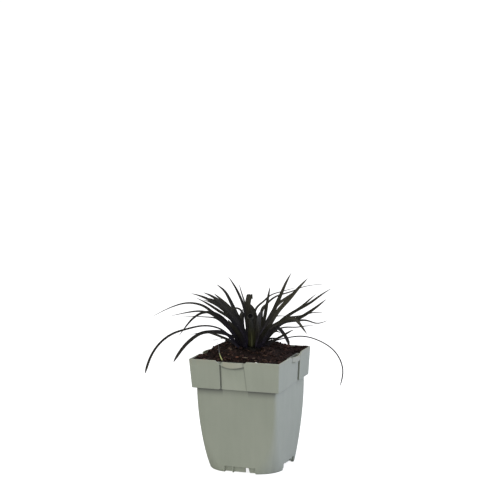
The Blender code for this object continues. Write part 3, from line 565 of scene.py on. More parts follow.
def pot_shell():
    rise = COLLAR_BOTTOM - FOOT_ROUND
    levels = [FOOT_ROUND + rise * step / BODY_STEPS for step in range(1, BODY_STEPS)]
    ledge = COLLAR_BOTTOM + WALL
    turns = [(1.0 - math.cos(angle), math.sin(angle)) for angle in quarter(EDGE_STEPS)]
    loops = [body_loop(FLOOR_UNDERSIDE, FOOT_RING), body_loop(0.0, FOOT_RING)]
    loops += [body_loop(FOOT_ROUND * across, FOOT_TURN_IN * (1.0 - along)) for across, along in turns]
    loops += [body_loop(z, 0.0) for z in levels + [COLLAR_BOTTOM]]
    loops += [collar_loop(COLLAR_BOTTOM + COLLAR_EDGE_ROUND * across, COLLAR_EDGE_ROUND * (1.0 - along))
              for across, along in turns]
    loops += [collar_loop(POT_HEIGHT - RIM_ROUND * (1.0 - along), RIM_ROUND * across)
              for across, along in turns]
    loops += [collar_loop(POT_HEIGHT - RIM_ROUND * across, WALL - RIM_ROUND * (1.0 - along))
              for across, along in turns]
    loops.append(collar_loop(ledge, WALL))
    loops.append(square_loop(BODY_HALF_TOP - WALL, BODY_RADIUS_TOP - WALL, ledge))
    loops += [body_loop(z, WALL) for z in reversed(levels) if z > FLOOR_TOP + OVER]
    loops.append(body_loop(FLOOR_TOP, WALL))
    shell = bmesh.new()
    add_loft(shell, loops)
    return shell


def from_lip(along):
    """The square of the share of the way from the lip's middle to its end."""
    return min(1.0, abs(along - LIP_CENTRE) / LIP_HALF_LENGTH) ** 2


def lip_bottom(along):
    """The lip's lower edge is an arc, deepest in the middle."""
    return POT_HEIGHT - LIP_DROP - blend(LIP_HEIGHT_MIDDLE, LIP_HEIGHT_END, from_lip(along))


def lip_face(along):
    """The lip bulges out in the middle and runs into the collar's wall at its ends."""
    return RIM_HALF + blend(LIP_BULGE, -LIP_TUCK, from_lip(along))


def swept(side, stations):
    """A bar along a side from cross-sections given as (along, ((out, z), ...))."""
    return [[on_side(side, along, out, z) for out, z in section] for along, section in stations]


def prism(side, outline, out_low, out_high):
    """An outline drawn on a side as (along, z), run from one distance out to another."""
    return [[on_side(side, along, out, z) for along, z in outline] for out in (out_low, out_high)]


def collar_section(back, low, high, depth):
    """A cross-section between a place and the depth below the collar's slanted face."""
    return ((back, low), (collar_half(low) - depth, low), (collar_half(high) - depth, high), (back, high))


def inner_wall(side):
    """The pocket's back wall and its filling, standing on the ledge inside the collar."""
    section = collar_section(INNER_WALL, COLLAR_BOTTOM + IN_WALL, POT_HEIGHT - INNER_WALL_DROP, IN_WALL)
    return swept(side, [(INNER_WALL_LEFT, section), (INNER_WALL_RIGHT, section)])


def lip(side):
    """The lip's nose is rounded at its lower edge."""
    back = RIM_HALF - LIP_BACK
    high = POT_HEIGHT - LIP_DROP + LIP_OVERLAP
    stations = []
    for along in np.linspace(LIP_CENTRE - LIP_HALF_LENGTH, LIP_CENTRE + LIP_HALF_LENGTH, LIP_STATIONS):
        front = lip_face(along)
        low = lip_bottom(along)
        nose = [(front - LIP_ROUND * (1.0 - math.sin(angle)), low + LIP_ROUND * (1.0 - math.cos(angle)))
                for angle in quarter(EDGE_STEPS)]
        stations.append((along, [(back, low)] + nose + [(front, high), (back, high)]))
    return swept(side, stations)


def middle_recess(side):
    """Sets the side's middle back under the lip, deeper at its left end. The lip is joined on later."""
    low = COLLAR_BOTTOM - OVER
    stations = []
    for along in np.linspace(POCKET_LEFT, POCKET_RIGHT, RECESS_STATIONS):
        depth = blend(RECESS_LEFT, RECESS_RIGHT, (along - POCKET_LEFT) / (POCKET_RIGHT - POCKET_LEFT))
        stations.append((along, collar_section(FAR_OUT, low, lip_bottom(along) + LIP_OVERLAP, depth)))
    loops = swept(side, stations)
    # The right end slants away from the lip and runs out to the panel's face
    for further, depth in ((RUN_OUT, RECESS_RIGHT), (POCKET_END, -RUN_OUT)):
        end_low = POCKET_RIGHT + POCKET_SLANT + further
        end_high = POCKET_RIGHT + further
        section = collar_section(FAR_OUT, low, lip_bottom(end_high) + LIP_OVERLAP, depth)
        loops.append([on_side(side, along, out, z)
                      for along, (out, z) in zip((end_low, end_low, end_high, end_high), section)])
    return loops


def groove(side):
    high = lip_bottom(LIP_HALF_LENGTH) + OVER
    section = collar_section(FAR_OUT, COLLAR_BOTTOM - OVER, high, GROOVE_DEPTH)
    return swept(side, [(POCKET_LEFT - GROOVE_WIDTH, section), (POCKET_LEFT + GROOVE_JOIN, section)])


def panel_corner(side):
    """Rounds the left panel's lower inner corner."""
    right = POCKET_LEFT - GROOVE_WIDTH / 2
    left = right - PANEL_CORNER
    arc = [(left + PANEL_CORNER * math.cos(angle), COLLAR_BOTTOM + PANEL_CORNER * (1.0 - math.sin(angle)))
           for angle in quarter(PANEL_CORNER_STEPS)]
    outline = [(right, COLLAR_BOTTOM - OVER)] + arc + [(left, COLLAR_BOTTOM - OVER)]
    return prism(side, outline, collar_half(COLLAR_BOTTOM) - GROOVE_DEPTH, FAR_OUT)


def rim_cut(side):
    """Lowers the lip's top below the rim, with a notch at each of its ends."""
    above = POT_HEIGHT + OVER
    lip_top = POT_HEIGHT - LIP_DROP
    left = [POCKET_LEFT + along for along in LEFT_NOTCH]
    right = [POCKET_RIGHT + along for along in RIGHT_NOTCH]
    outline = ((left[0] - OVER, above), (left[0], POT_HEIGHT), (left[1], POT_HEIGHT - LEFT_NOTCH_DEPTH),
               (left[2], lip_top), (right[0], lip_top), (right[1], POT_HEIGHT - RIGHT_NOTCH_DEPTH),
               (right[2], POT_HEIGHT), (right[2] + OVER, above))
    return prism(side, outline, SLOT_INNER + GAP, FAR_OUT)


def label_slot(side):
    bottom = POT_HEIGHT - SLOT_DEPTH
    shelf = lip_bottom(LIP_CENTRE) + LIP_WALL
    top = POT_HEIGHT + OVER
    skin = RECESS_LEFT + POCKET_SKIN
    low_wall = (collar_half(bottom) - skin, bottom)
    high_wall = (collar_half(shelf) - skin, shelf)
    stations = []
    for along in np.linspace(LIP_CENTRE - SLOT_HALF_LENGTH, LIP_CENTRE + SLOT_HALF_LENGTH, LIP_STATIONS):
        lip_back = lip_face(along) - LIP_WALL
        section = ((SLOT_INNER, bottom), low_wall, high_wall,
                   (lip_back, shelf), (lip_back, top), (SLOT_INNER, top))
        stations.append((along, section))
    return swept(side, stations)


def foot_slot(side, left, right, count):
    """One part of the recessed slot at the foot. Its back wall ends a little above the ground."""
    stations = []
    for along in np.linspace(left, right, count):
        back = body_face(along, 0.0) - FOOT_SLOT_DEPTH
        inside = back - FOOT_RING
        section = ((inside, -OVER), (FAR_OUT, -OVER), (FAR_OUT, FOOT_SLOT_HEIGHT),
                   (back, FOOT_SLOT_HEIGHT), (back, FOOT_LIFT), (inside, FOOT_LIFT))
        stations.append((along, section))
    return swept(side, stations)


def short_slot(side):
    return foot_slot(side, FOOT_SLOT_LEFT, FOOT_RIB - FOOT_RIB_WIDTH / 2, SHORT_SLOT_STATIONS)


def long_slot(side):
    return foot_slot(side, FOOT_RIB + FOOT_RIB_WIDTH / 2, FOOT_SLOT_RIGHT, LONG_SLOT_STATIONS)


def foot_opening(side):
    outline = ((OPENING_LEFT, -OVER), (OPENING_RIGHT + OPENING_FLARE, -OVER),
               (OPENING_RIGHT, OPENING_HEIGHT), (OPENING_LEFT, OPENING_HEIGHT))
    return prism(side, outline, BODY_HALF_FOOT - OPENING_REACH, FAR_OUT)


def side_gap(side):
    """The foot ring is also cut away from the opening to the slot's other end."""
    right = OPENING_LEFT + RUN_OUT
    left = SIDE_GAP_LEFT
    outline = ((left, -OVER), (right, -OVER), (right, SIDE_GAP_HIGH), (left, SIDE_GAP_LOW))
    return prism(side, outline, BODY_HALF_FOOT - OPENING_REACH, FAR_OUT)


def drain_hole(side):
    """One hole through the floor for each side, on the diagonals."""
    angle = (side + 0.5) * math.pi / 2
    x = DRAIN_CIRCLE * math.cos(angle)
    y = DRAIN_CIRCLE * math.sin(angle)
    return [[(x + DRAIN_RADIUS * math.cos(turn), y + DRAIN_RADIUS * math.sin(turn), z)
             for turn in around(DRAIN_SEGMENTS)] for z in (FLOOR_UNDERSIDE - OVER, FLOOR_TOP + OVER)]


ALL_SIDES = (0, 1, 2, 3)
# Each step in the pot's making: what it does, its shapes and the sides that have them
POT_STEPS = (
    ("UNION", (inner_wall,), ALL_SIDES),
    ("DIFFERENCE", (middle_recess,), ALL_SIDES),
    ("DIFFERENCE", (groove,), ALL_SIDES),
    ("DIFFERENCE", (panel_corner,), ALL_SIDES),
    ("UNION", (lip,), ALL_SIDES),
    ("DIFFERENCE", (rim_cut,), ALL_SIDES),
    ("DIFFERENCE", (label_slot,), ALL_SIDES),
    ("DIFFERENCE", (short_slot, long_slot), ALL_SIDES),
    ("DIFFERENCE", (foot_opening,), ALL_SIDES),
    ("DIFFERENCE", (side_gap,), (1, 3)),
    ("DIFFERENCE", (drain_hole,), ALL_SIDES),
)


def cut_and_join(thing):
    """Applies the Boolean steps, one after the other, and removes their tools."""
    tools = []
    for operation, shapes, sides in POT_STEPS:
        mesh_data = bmesh.new()
        for side in sides:
            for shape in shapes:
                add_loft(mesh_data, shape(side))
        tool = add_object("tool_" + shapes[0].__name__, mesh_data)
        step = thing.modifiers.new(tool.name, "BOOLEAN")
        step.operation = operation
        step.solver = "EXACT"
        step.object = tool
        tools.append(tool)
    depsgraph = bpy.context.evaluated_depsgraph_get()
    finished = bpy.data.meshes.new_from_object(thing.evaluated_get(depsgraph))
    thing.modifiers.clear()
    thing.data = finished
    for tool in tools:
        bpy.data.objects.remove(tool, do_unlink=True)


PLASTIC = (0.382, 0.413, 0.330, 1.0)
PLASTIC_PALE = (0.402, 0.430, 0.345, 1.0)
STREAK_SCALE = (150.0, 150.0, 9.0)
DUST = (0.40, 0.36, 0.26, 1.0)
DUST_FROM = 103.0 * MM
DUST_SHARE = 0.45
LIP_DUST = (0.520, 0.500, 0.380, 1.0)
# A dark grey mixed in as painted shade, then its shares in the grooves, on the groove's walls, under the
# lip, against the step and under the collar
PAINTED_SHADE_GREY = (0.120, 0.125, 0.115, 1.0)
GROOVE_PAINTED_SHADE = 0.5
GROOVE_WALL_PAINTED_SHADE = 0.45
LIP_PAINTED_SHADOW = 0.75
STEP_PAINTED_SHADE = 0.28
COLLAR_PAINTED_SHADOW = 0.95
# How much paler the painted light makes the pocket and the panel past it
PAINTED_LIGHT_SHARE = 0.09


def pot_dust_and_painted_light(where):
    """The shares of painted shade and of dust on the lip, and the plastic's tone, with painted light and
    shade in it.
    """
    x, y, height = outputs(where.made, "ShaderNodeSeparateXYZ", Vector=where)
    out_x = abs(x)
    out_y = abs(y)
    out = out_x.larger(out_y)
    along = x * y * -1.0 / out
    draft = COLLAR_DRAFT / COLLAR_HEIGHT
    depth = height * draft + (RIM_HALF - draft * POT_HEIGHT) - out
    collar = height.ramp(COLLAR_BOTTOM - 0.2 * MM, COLLAR_BOTTOM)
    body = 1.0 - collar
    front = (out_y - out_x).ramp(0.0, 1.5 * MM)
    # Grooves: painted shade on everything that lies deeper than the pocket, and on the walls of the groove
    # at its left end
    deep = depth.ramp(1.42 * MM, 1.6 * MM, 0.0, GROOVE_PAINTED_SHADE)
    from_groove = abs(along + (GROOVE_WIDTH / 2 - POCKET_LEFT))
    walls = from_groove.ramp(0.6 * MM, 0.8 * MM, GROOVE_WALL_PAINTED_SHADE, 0.0) * depth.ramp(0.1 * MM, 0.4 * MM)
    groove_shade = collar * deep.larger(walls)
    # Lip: a painted shadow, a dark line that follows the arc of its lower edge
    arch = (LIP_HEIGHT_MIDDLE - LIP_HEIGHT_END) / LIP_HALF_LENGTH ** 2
    lip_low = POT_HEIGHT - LIP_DROP - LIP_HEIGHT_MIDDLE
    from_centre = along - LIP_CENTRE
    over_arc = height - from_centre * from_centre * arch
    line = over_arc.ramp(lip_low - 2.8 * MM, lip_low - 1.0 * MM, 0.0, LIP_PAINTED_SHADOW)
    line = line * over_arc.ramp(lip_low + 0.3 * MM, lip_low + 0.6 * MM, 1.0, 0.0)
    within = abs(from_centre).ramp(LIP_HALF_LENGTH - 1.0 * MM, LIP_HALF_LENGTH, 1.0, 0.0)
    lip_shadow = line * (within * depth.ramp(0.3 * MM, 0.6 * MM)) * front
    # Pocket: from its left end to its slanted right end, where a thin line of painted shade lies against
    # the step
    slant = POCKET_SLANT / COLLAR_HEIGHT
    past = along - (POCKET_RIGHT + slant * POT_HEIGHT - height * slant)
    pocket = along.ramp(POCKET_LEFT, POCKET_LEFT + 0.5 * MM) * past.ramp(-0.5 * MM, 0.0, 1.0, 0.0)
    step = collar * abs(past + 0.6 * MM).ramp(0.3 * MM, 0.7 * MM, STEP_PAINTED_SHADE, 0.0)
    # Collar: a painted shadow that fades down the body, full on the two sides that face -Y and +Y and
    # weaker under the pocket
    near = height.ramp(COLLAR_BOTTOM - 9.0 * MM, COLLAR_BOTTOM - 0.6 * MM, 0.0, COLLAR_PAINTED_SHADOW)
    shadow_share = front.ramp(0.0, 1.0, 0.15, 1.0) * pocket.ramp(0.0, 1.0, 1.0, 0.45)
    collar_shadow = near * near * shadow_share * body
    dirt = groove_shade.larger(step).larger(lip_shadow.larger(collar_shadow))
    on_lip = collar * depth.ramp(-1.2 * MM, -0.3 * MM, 0.5, 0.0) * front.ramp(0.0, 1.0, 0.3, 1.0)
    # Tone: on the -Y and +Y sides, painted light that makes the pocket and the panel past its right end
    # paler; and a slow change down the body: painted shade under the collar and painted light at the foot
    # on those sides, darker towards the foot on the other two
    pocket_painted_light = pocket * depth.ramp(0.3 * MM, 0.5 * MM, 0.0, PAINTED_LIGHT_SHARE)
    panel_painted_light = past.ramp(-0.3 * MM, 0.0) * past.ramp(0.0, 15.0 * MM, PAINTED_LIGHT_SHARE, 0.0)
    front_back_painted_shading = height.ramp(5.0 * MM, COLLAR_BOTTOM, 0.035, -0.05)
    side_gradient = height.ramp(5.0 * MM, COLLAR_BOTTOM, -0.05, 0.01)
    change = outputs(where.made, "ShaderNodeMix", Factor=front, A=side_gradient, B=front_back_painted_shading)[0]
    return dirt, on_lip, collar * front * pocket_painted_light.larger(panel_painted_light) + change * body + 1.0


def pot_plastic():
    """Matt grey-green plastic: faint mottling and streaks, a fine grain, dust on the rim, and painted light
    and shade.
    """
    made, shader = new_material("pot_plastic", 0.62, 0.35)
    where = object_place(made)
    height = outputs(made, "ShaderNodeSeparateXYZ", Vector=where)[2]
    upright = outputs(made, "ShaderNodeMapping", Vector=where, Scale=STREAK_SCALE)[0]
    streaks = noise_at(upright, 1.0).ramp(0.3, 0.7, 0.97, 1.03)
    dust = height.ramp(DUST_FROM, POT_HEIGHT) * noise_at(where, 240.0, 4.0).ramp(0.42, 0.62) * DUST_SHARE
    # The pot's painted shade, the dust on its lip, and its tone, which holds painted light and shade
    dirt, on_lip, tone = pot_dust_and_painted_light(where)
    colour = patches(noise_at(where, 26.0).ramp(0.35, 0.65), PLASTIC, PLASTIC_PALE)
    colour = colour.shaded(streaks).mixed(DUST, dust).shaded(tone)
    colour = colour.mixed(LIP_DUST, on_lip).mixed(PAINTED_SHADE_GREY, dirt)
    wavy = bump(noise_at(where, 45.0, 1.0), 0.4 * MM, 0.35)
    grain = bump(noise_at(where, 2600.0, 2.0), 0.03 * MM, 0.5, Normal=wavy)
    roughness = noise_at(where, 90.0).ramp(0.3, 0.7, 0.56, 0.68)
    feed(shader, Base_Color=colour, Roughness=roughness, Normal=grain)
    return made


def make_pot():
    pot = add_object("flower_pot", pot_shell())
    cut_and_join(pot)
    finish(pot, pot_plastic(), POT_SHARP, "pot_plastic", "pot")


# Soil

WALL_CLEARANCE = WALL + GAP
EDGE_MARGIN = 1.2 * MM
CROWN_MARGIN = 1.0 * MM
POCKET_MARGIN = 1.5 * MM
POCKET_REACH = 19.5 * MM
# Crumbs per millimetre, the finer ones' height against the coarser ones', and their shift
COARSE_CRUMBS = 0.45
FINE_CRUMBS = 1.3
FINE_CRUMB_SHARE = 0.6
FINE_CRUMB_SHIFT = Vector((7.0, 3.0, 0.0))
# Ranges of the random draws: shares of a chip's length, turns in radians, fibres in millimetres
CHIP_CORNERS = (0.72, 1.2)
CHIP_SHADES = (0.75, 1.3)
CHIP_WIDTHS = (0.45, 0.8)
CHIP_HEIGHTS = (0.25, 0.5)
CHIP_LEANS = (-0.6, 0.6)
CHIP_RISES = (-0.2, 0.6)
MOSTLY_SMALL = 3.2
BIG_CHIP_LEANS = (-0.3, 0.3)
BIG_CHIP_TURNS = (-0.5, 0.5)
FIBRE_STEPS = 7
FIBRE_BENDS = (-0.5, 0.5)
FIBRE_LENGTHS = (3.0, 9.0)
FIBRE_RADII = (0.08, 0.2)
# The tones of the bark, and how many chips in a hundred have each
BARK_TONES = ((0.0118, 0.0073, 0.0057), (0.0225, 0.0133, 0.0105), (0.042, 0.0217, 0.0160),
              (0.070, 0.041, 0.028), (0.098, 0.064, 0.047), (0.150, 0.110, 0.081))
BARK_SHARES = (30, 32, 24, 9, 4, 1)
SOIL_TONE = (0.0142, 0.0089, 0.0071)
REDDISH = (0.045, 0.022, 0.017, 1.0)
# Pieces that the photograph shows: their place (across, toward the viewer), size and rise, in millimetres,
# and their tone
BIG_CHIPS = (
    ((-21.5, -24.0), (3.6, 2.2, 1.4), 0.6, (0.110, 0.075, 0.055)),
    ((-13.5, 30.0), (2.6, 1.5, 0.7), 0.2, (0.150, 0.070, 0.040)),
    ((-5.5, 31.5), (3.4, 0.6, 0.5), 0.6, (0.300, 0.230, 0.160)),
    ((-29.0, -14.0), (2.8, 2.0, 1.3), 0.4, (0.030, 0.020, 0.015)),
    ((21.0, -22.0), (3.0, 2.2, 1.6), 0.5, (0.014, 0.011, 0.009)),
    ((27.0, -18.0), (2.2, 1.8, 1.3), 0.3, (0.020, 0.014, 0.011)),
    ((-36.0, -3.0), (2.4, 1.8, 1.4), 0.5, (0.016, 0.011, 0.009)),
)
PERLITE_PLACE = (4.6, 46.5)
PERLITE_DROP = 1.0 * MM
PERLITE_SIZE = (1.3, 1.0, 1.0)
PERLITE_TURN = (0.2, 0.1, 0.4)
PERLITE_TONE = (0.74, 0.72, 0.64)


def lumps(x, y):
    """A sum of the waves. The longer ones are higher."""
    height = 0.0
    for turn, wave in SOIL_WAVES:
        along = x * math.cos(turn) + y * math.sin(turn)
        height += math.sin(along / (wave * MM) * 2.0 + wave) * wave * MM * SOIL_LUMP_HEIGHT
    return height


def soil_height(x, y):
    away = math.hypot(x - SOIL_MOUND_MIDDLE[0], y - SOIL_MOUND_MIDDLE[1]) / SOIL_MOUND_REACH
    mound = SOIL_MOUND * (1.0 - min(1.0, away) ** SOIL_MOUND_SHAPE)
    return POT_HEIGHT - SOIL_EDGE_DROP + mound + lumps(x, y)


def crumbs(x, y):
    """Fine unevenness on top of the lumps."""
    place_mm = Vector((x / MM, y / MM, 0.0))
    coarse = noise.noise(place_mm * COARSE_CRUMBS)
    fine = noise.noise(place_mm * FINE_CRUMBS + FINE_CRUMB_SHIFT)
    return SOIL_CRUMB * (coarse + FINE_CRUMB_SHARE * fine)


def square_reach(half, radius, angle):
    """How far a square with rounded corners reaches from its middle, in a direction."""
    short_way, long_way = sorted((abs(math.cos(angle)), abs(math.sin(angle))))
    flat = half - radius
    if half * short_way <= flat * long_way:
        return half / long_way
    return flat * (long_way + short_way) + math.sqrt(radius ** 2 - (flat * (long_way - short_way)) ** 2)


def pocket_reach(angle):
    """How far the soil may reach in a direction before it meets a label pocket's back wall."""
    inside = INNER_WALL - GAP
    for side in ALL_SIDES:
        flip = -1.0 if side % 2 else 1.0
        turned = angle - side * math.pi / 2 + math.pi / 2
        if math.cos(turned) > 0.5:
            along = math.tan(turned) * inside * flip
            if INNER_WALL_LEFT - GAP <= along <= INNER_WALL_RIGHT + GAP:
                return inside / math.cos(turned)
    return math.inf


def soil_loop(half, radius, z, beside_pockets=False):
    """A loop that keeps clear of the pot's wall, given by its half width and its corners' radius."""
    loop = []
    for angle in around(SOIL_POINTS):
        reach = square_reach(half - WALL_CLEARANCE, max(radius - WALL_CLEARANCE, LEAST_RADIUS), angle)
        if beside_pockets:
            reach = min(reach, pocket_reach(angle))
        loop.append((reach * math.cos(angle), reach * math.sin(angle), z))
    return loop


def soil_rows():
    """The soil's loops: up the walls, then inward over the top to the crown."""
    ledge = COLLAR_BOTTOM + WALL_CLEARANCE
    levels = [FLOOR_TOP + GAP] + [level * COLLAR_BOTTOM for level in SOIL_LEVELS]
    loops = [soil_loop(body_half(z), body_radius(z), z) for z in levels]
    loops.append(soil_loop(BODY_HALF_TOP, BODY_RADIUS_TOP, ledge))
    loops.append(soil_loop(collar_half(ledge), COLLAR_RADIUS, ledge, True))
    edge = soil_loop(RIM_HALF, COLLAR_RADIUS, POT_HEIGHT - SOIL_EDGE_DROP, True)
    loops.append(edge)
    for ring in range(1, SOIL_RINGS):
        loop = []
        for x, y, z in edge:
            inward = blend(1.0, SOIL_INNER / math.hypot(x, y), ring / (SOIL_RINGS - 1))
            here = (x * inward, y * inward)
            under_crown = clamp((CROWN_RADIUS - math.hypot(*here)) / SOIL_DIP, 0.0, 1.0)
            loop.append((*here, soil_height(*here) + crumbs(*here) - under_crown * CROWN_SUNK))
        loops.append(loop)
    return loops


def paint(faces, layer, tone):
    for face in faces:
        for corner in face.loops:
            corner[layer] = (*tone, 1.0)


def add_chip(mix, layer, chance, where, size, turn, tone):
    """A broken piece of bark: a block with its corners cut and moved at random."""
    corners = bmesh.ops.create_icosphere(mix, subdivisions=1, radius=1.0)["verts"]
    turned = turn.to_matrix().to_4x4()
    for corner in corners:
        rough = Vector([chance.uniform(*CHIP_CORNERS) for direction in size])
        corner.co = turned @ Vector([a * b * c for a, b, c in zip(corner.co, size, rough)]) + where
    shade = chance.uniform(*CHIP_SHADES)
    faces = {face for corner in corners for face in corner.link_faces}
    paint(faces, layer, [part * shade for part in tone])


def soil_spot(chance):
    """A random place on the soil, clear of the crown and the label pockets."""
    half = RIM_HALF - WALL - EDGE_MARGIN
    while True:
        x = chance.uniform(-half, half)
        y = chance.uniform(-half, half)
        on_crown_disc = math.hypot(x, y) < CROWN_RADIUS - CROWN_MARGIN
        shorter, longer = sorted((abs(x), abs(y)))
        if not on_crown_disc and not (longer > INNER_WALL - POCKET_MARGIN and shorter < POCKET_REACH):
            return x, y


def scatter_bark(mix, layer, chance):
    for number in range(BARK_COUNT):
        x, y = soil_spot(chance)
        length = BARK_SMALLEST + (BARK_LARGEST - BARK_SMALLEST) * chance.random() ** MOSTLY_SMALL
        size = (length, length * chance.uniform(*CHIP_WIDTHS), length * chance.uniform(*CHIP_HEIGHTS))
        lean = (chance.uniform(*CHIP_LEANS), chance.uniform(*CHIP_LEANS))
        turn = Euler((*lean, chance.uniform(0.0, math.tau)))
        rise = size[2] * chance.uniform(*CHIP_RISES)
        height = min(soil_height(x, y) + crumbs(x, y) + rise, CAD_BOX[1].z)
        tone = chance.choices(BARK_TONES, BARK_SHARES)[0]
        add_chip(mix, layer, chance, Vector((x, y, height)), size, turn, tone)


def from_front(across, toward):
    """A place on the level from its place across and toward the viewer, in millimetres."""
    return (ACROSS * across * MM + LEVEL_TOWARD * toward * MM)[:2]


def add_named_chips(mix, layer, chance):
    for spot, size, rise, tone in BIG_CHIPS:
        x, y = from_front(*spot)
        lean = (chance.uniform(*BIG_CHIP_LEANS), chance.uniform(*BIG_CHIP_LEANS))
        turn = Euler((*lean, FRONT_HEADING + chance.uniform(*BIG_CHIP_TURNS)))
        where = Vector((x, y, soil_height(x, y) + rise * MM))
        add_chip(mix, layer, chance, where, [length * MM for length in size], turn, tone)
    where = Vector((*from_front(*PERLITE_PLACE), POT_HEIGHT - PERLITE_DROP))
    size = [length * MM for length in PERLITE_SIZE]
    add_chip(mix, layer, chance, where, size, Euler(PERLITE_TURN), PERLITE_TONE)


def add_bar(mesh_data, centres, sides, heights):
    """A bar with a diamond section, from its middle line and its reach to the sides and up."""
    add_loft(mesh_data, [[centre + side, centre + up, centre - side, centre - up]
                         for centre, side, up in zip(centres, sides, heights)])


def add_fibres(mix, layer, chance):
    """Thin roots and fibres that lie on the soil."""
    limit = INNER_WALL - POCKET_MARGIN
    for number in range(FIBRE_COUNT):
        x, y = soil_spot(chance)
        heading = chance.uniform(0.0, math.tau)
        bend = chance.uniform(*FIBRE_BENDS)
        length = chance.uniform(*FIBRE_LENGTHS) * MM
        radius = chance.uniform(*FIBRE_RADII) * MM
        tone = chance.choices(BARK_TONES, BARK_SHARES)[0]
        centres = []
        sides = []
        for step in range(FIBRE_STEPS + 1):
            x = clamp(x + math.cos(heading) * length / FIBRE_STEPS, -limit, limit)
            y = clamp(y + math.sin(heading) * length / FIBRE_STEPS, -limit, limit)
            heading += bend
            rise = (0.2 + 1.1 * math.sin(step / FIBRE_STEPS * math.pi)) * MM
            centres.append(Vector((x, y, soil_height(x, y) + crumbs(x, y) + rise)))
            sides.append(Vector((-math.sin(heading), math.cos(heading), 0.0)) * radius)
        known = len(mix.faces)
        add_bar(mix, centres, sides, [Vector((0.0, 0.0, radius))] * len(centres))
        mix.faces.ensure_lookup_table()
        paint(mix.faces[known:], layer, tone)


def soil_mix():
    """Moist peat and bark: each chip's own tone, broken up by noise."""
    made, shader = new_material("soil_mix", 0.93, 0.12)
    where = object_place(made)
    own = attribute(made, "chip_tone")[0]
    mottled = noise_at(where, 1300.0, 4.0).ramp(0.3, 0.7, 0.45, 1.7)
    colour = own.shaded(mottled).mixed(REDDISH, noise_at(where, 160.0).ramp(0.5, 0.7, 0.0, 0.35))
    coarse = bump(noise_at(where, 520.0, 4.0), 0.6 * MM, 0.7)
    fine = bump(noise_at(where, 2400.0), 0.2 * MM, 0.8, Normal=coarse)
    feed(shader, Base_Color=colour, Normal=fine)
    return made


def make_soil():
    chance = random.Random(SOIL_SEED)
    mix = bmesh.new()
    layer = mix.loops.layers.float_color.new("chip_tone")
    add_loft(mix, soil_rows())
    paint(mix.faces, layer, SOIL_TONE)
    scatter_bark(mix, layer, chance)
    add_named_chips(mix, layer, chance)
    add_fibres(mix, layer, chance)
    finish(add_object("potting_mix", mix), soil_mix(), SOIL_SHARP, "soil_mix", "soil")


# Leaves


def smooth_line(points, shares):
    """Points at shares of the length of a natural cubic spline through the given points."""
    points = np.array(points, float)
    gaps = np.linalg.norm(np.diff(points, axis=0), axis=1)
    knots = np.concatenate(([0.0], np.cumsum(gaps)))
    slopes = np.diff(points, axis=0) / gaps[:, None]
    system = np.eye(len(points))
    bends = np.zeros_like(points)
    for i in range(1, len(points) - 1):
        system[i, i - 1:i + 2] = gaps[i - 1], 2.0 * (gaps[i - 1] + gaps[i]), gaps[i]
        bends[i] = 6.0 * (slopes[i] - slopes[i - 1])
    curve = np.linalg.solve(system, bends)
    line = []
    for mark in np.array(shares) * knots[-1]:
        i = min(int(np.searchsorted(knots, mark, side="right")) - 1, len(gaps) - 1)
        before = mark - knots[i]
        after = knots[i + 1] - mark
        line.append((curve[i] * after ** 3 + curve[i + 1] * before ** 3) / (6.0 * gaps[i])
                    + (points[i] / gaps[i] - curve[i] * gaps[i] / 6.0) * after
                    + (points[i + 1] / gaps[i] - curve[i + 1] * gaps[i] / 6.0) * before)
    return np.array(line)


def crown_height(distance):
    return CROWN_HEIGHT + CROWN_DOME * (1.0 - (distance / CROWN_RADIUS) ** 2)


def on_crown(x, y):
    return crown_height(math.hypot(x, y))


def leaf_points(leaf, ground):
    """The base and the route as points of the model. The lean toward the viewer grows with the length."""
    middle = np.array([0.0, 0.0, ROUTE_HEIGHT])
    base = leaf.base[0] * MM * ACROSS + leaf.base[1] * MM * LEVEL_TOWARD
    base[2] = ground(base[0], base[1])
    from_middle = base - middle
    flat = [(from_middle @ ACROSS, from_middle @ UPWARD)] + [(a * MM, u * MM) for a, u in leaf.route]
    lengths = np.linalg.norm(np.diff(np.array(flat), axis=0), axis=1)
    shares = np.cumsum(lengths) / lengths.sum()
    near = from_middle @ TOWARD
    points = [base]
    for (across, up), share in zip(flat[1:], shares):
        depth = blend(near, leaf.toward * MM, share)
        points.append(middle + across * ACROSS + up * UPWARD + depth * TOWARD)
    first = (points[1] - base) / np.linalg.norm(points[1] - base)
    points[0] = base - first * LEAF_SUNK
    return points


def blade_reference(leaf):
    """A leaf that runs far along the view faces up, and any other one faces the viewer."""
    far_along_view = abs(leaf.toward) > max(LONG_REACH, 2.0 * abs(leaf.route[-1][0]))
    return UPWARD if far_along_view else TOWARD


def leaf_width(leaf, share):
    """Narrow at the base, widest from a quarter of the length, tapered to the tip."""
    swell = blend(LEAF_BASE_SHARE, 1.0, math.sin(min(1.0, share / LEAF_WIDEST_FROM) * math.pi / 2))
    taper = (1.0 - share ** leaf.taper) ** LEAF_TIP_SHAPE
    return leaf.width * MM * swell * taper


def leaf_section(half, thick, fold):
    """Points (across, up, mark) round the strap: along its upper face, back along the keeled lower one."""
    upper = []
    lower = []
    for step in range(-LEAF_SIDE_STEPS, LEAF_SIDE_STEPS + 1):
        mark = step / LEAF_SIDE_STEPS
        rise = fold * abs(mark) ** LEAF_FOLD_SHAPE
        body = thick * (1.0 - mark * mark)
        upper.append((half * mark, rise + body * (1.0 - LEAF_KEEL_SHARE), mark))
        lower.append((half * mark, rise - body * LEAF_KEEL_SHARE, mark))
    return upper + lower[-2:0:-1]


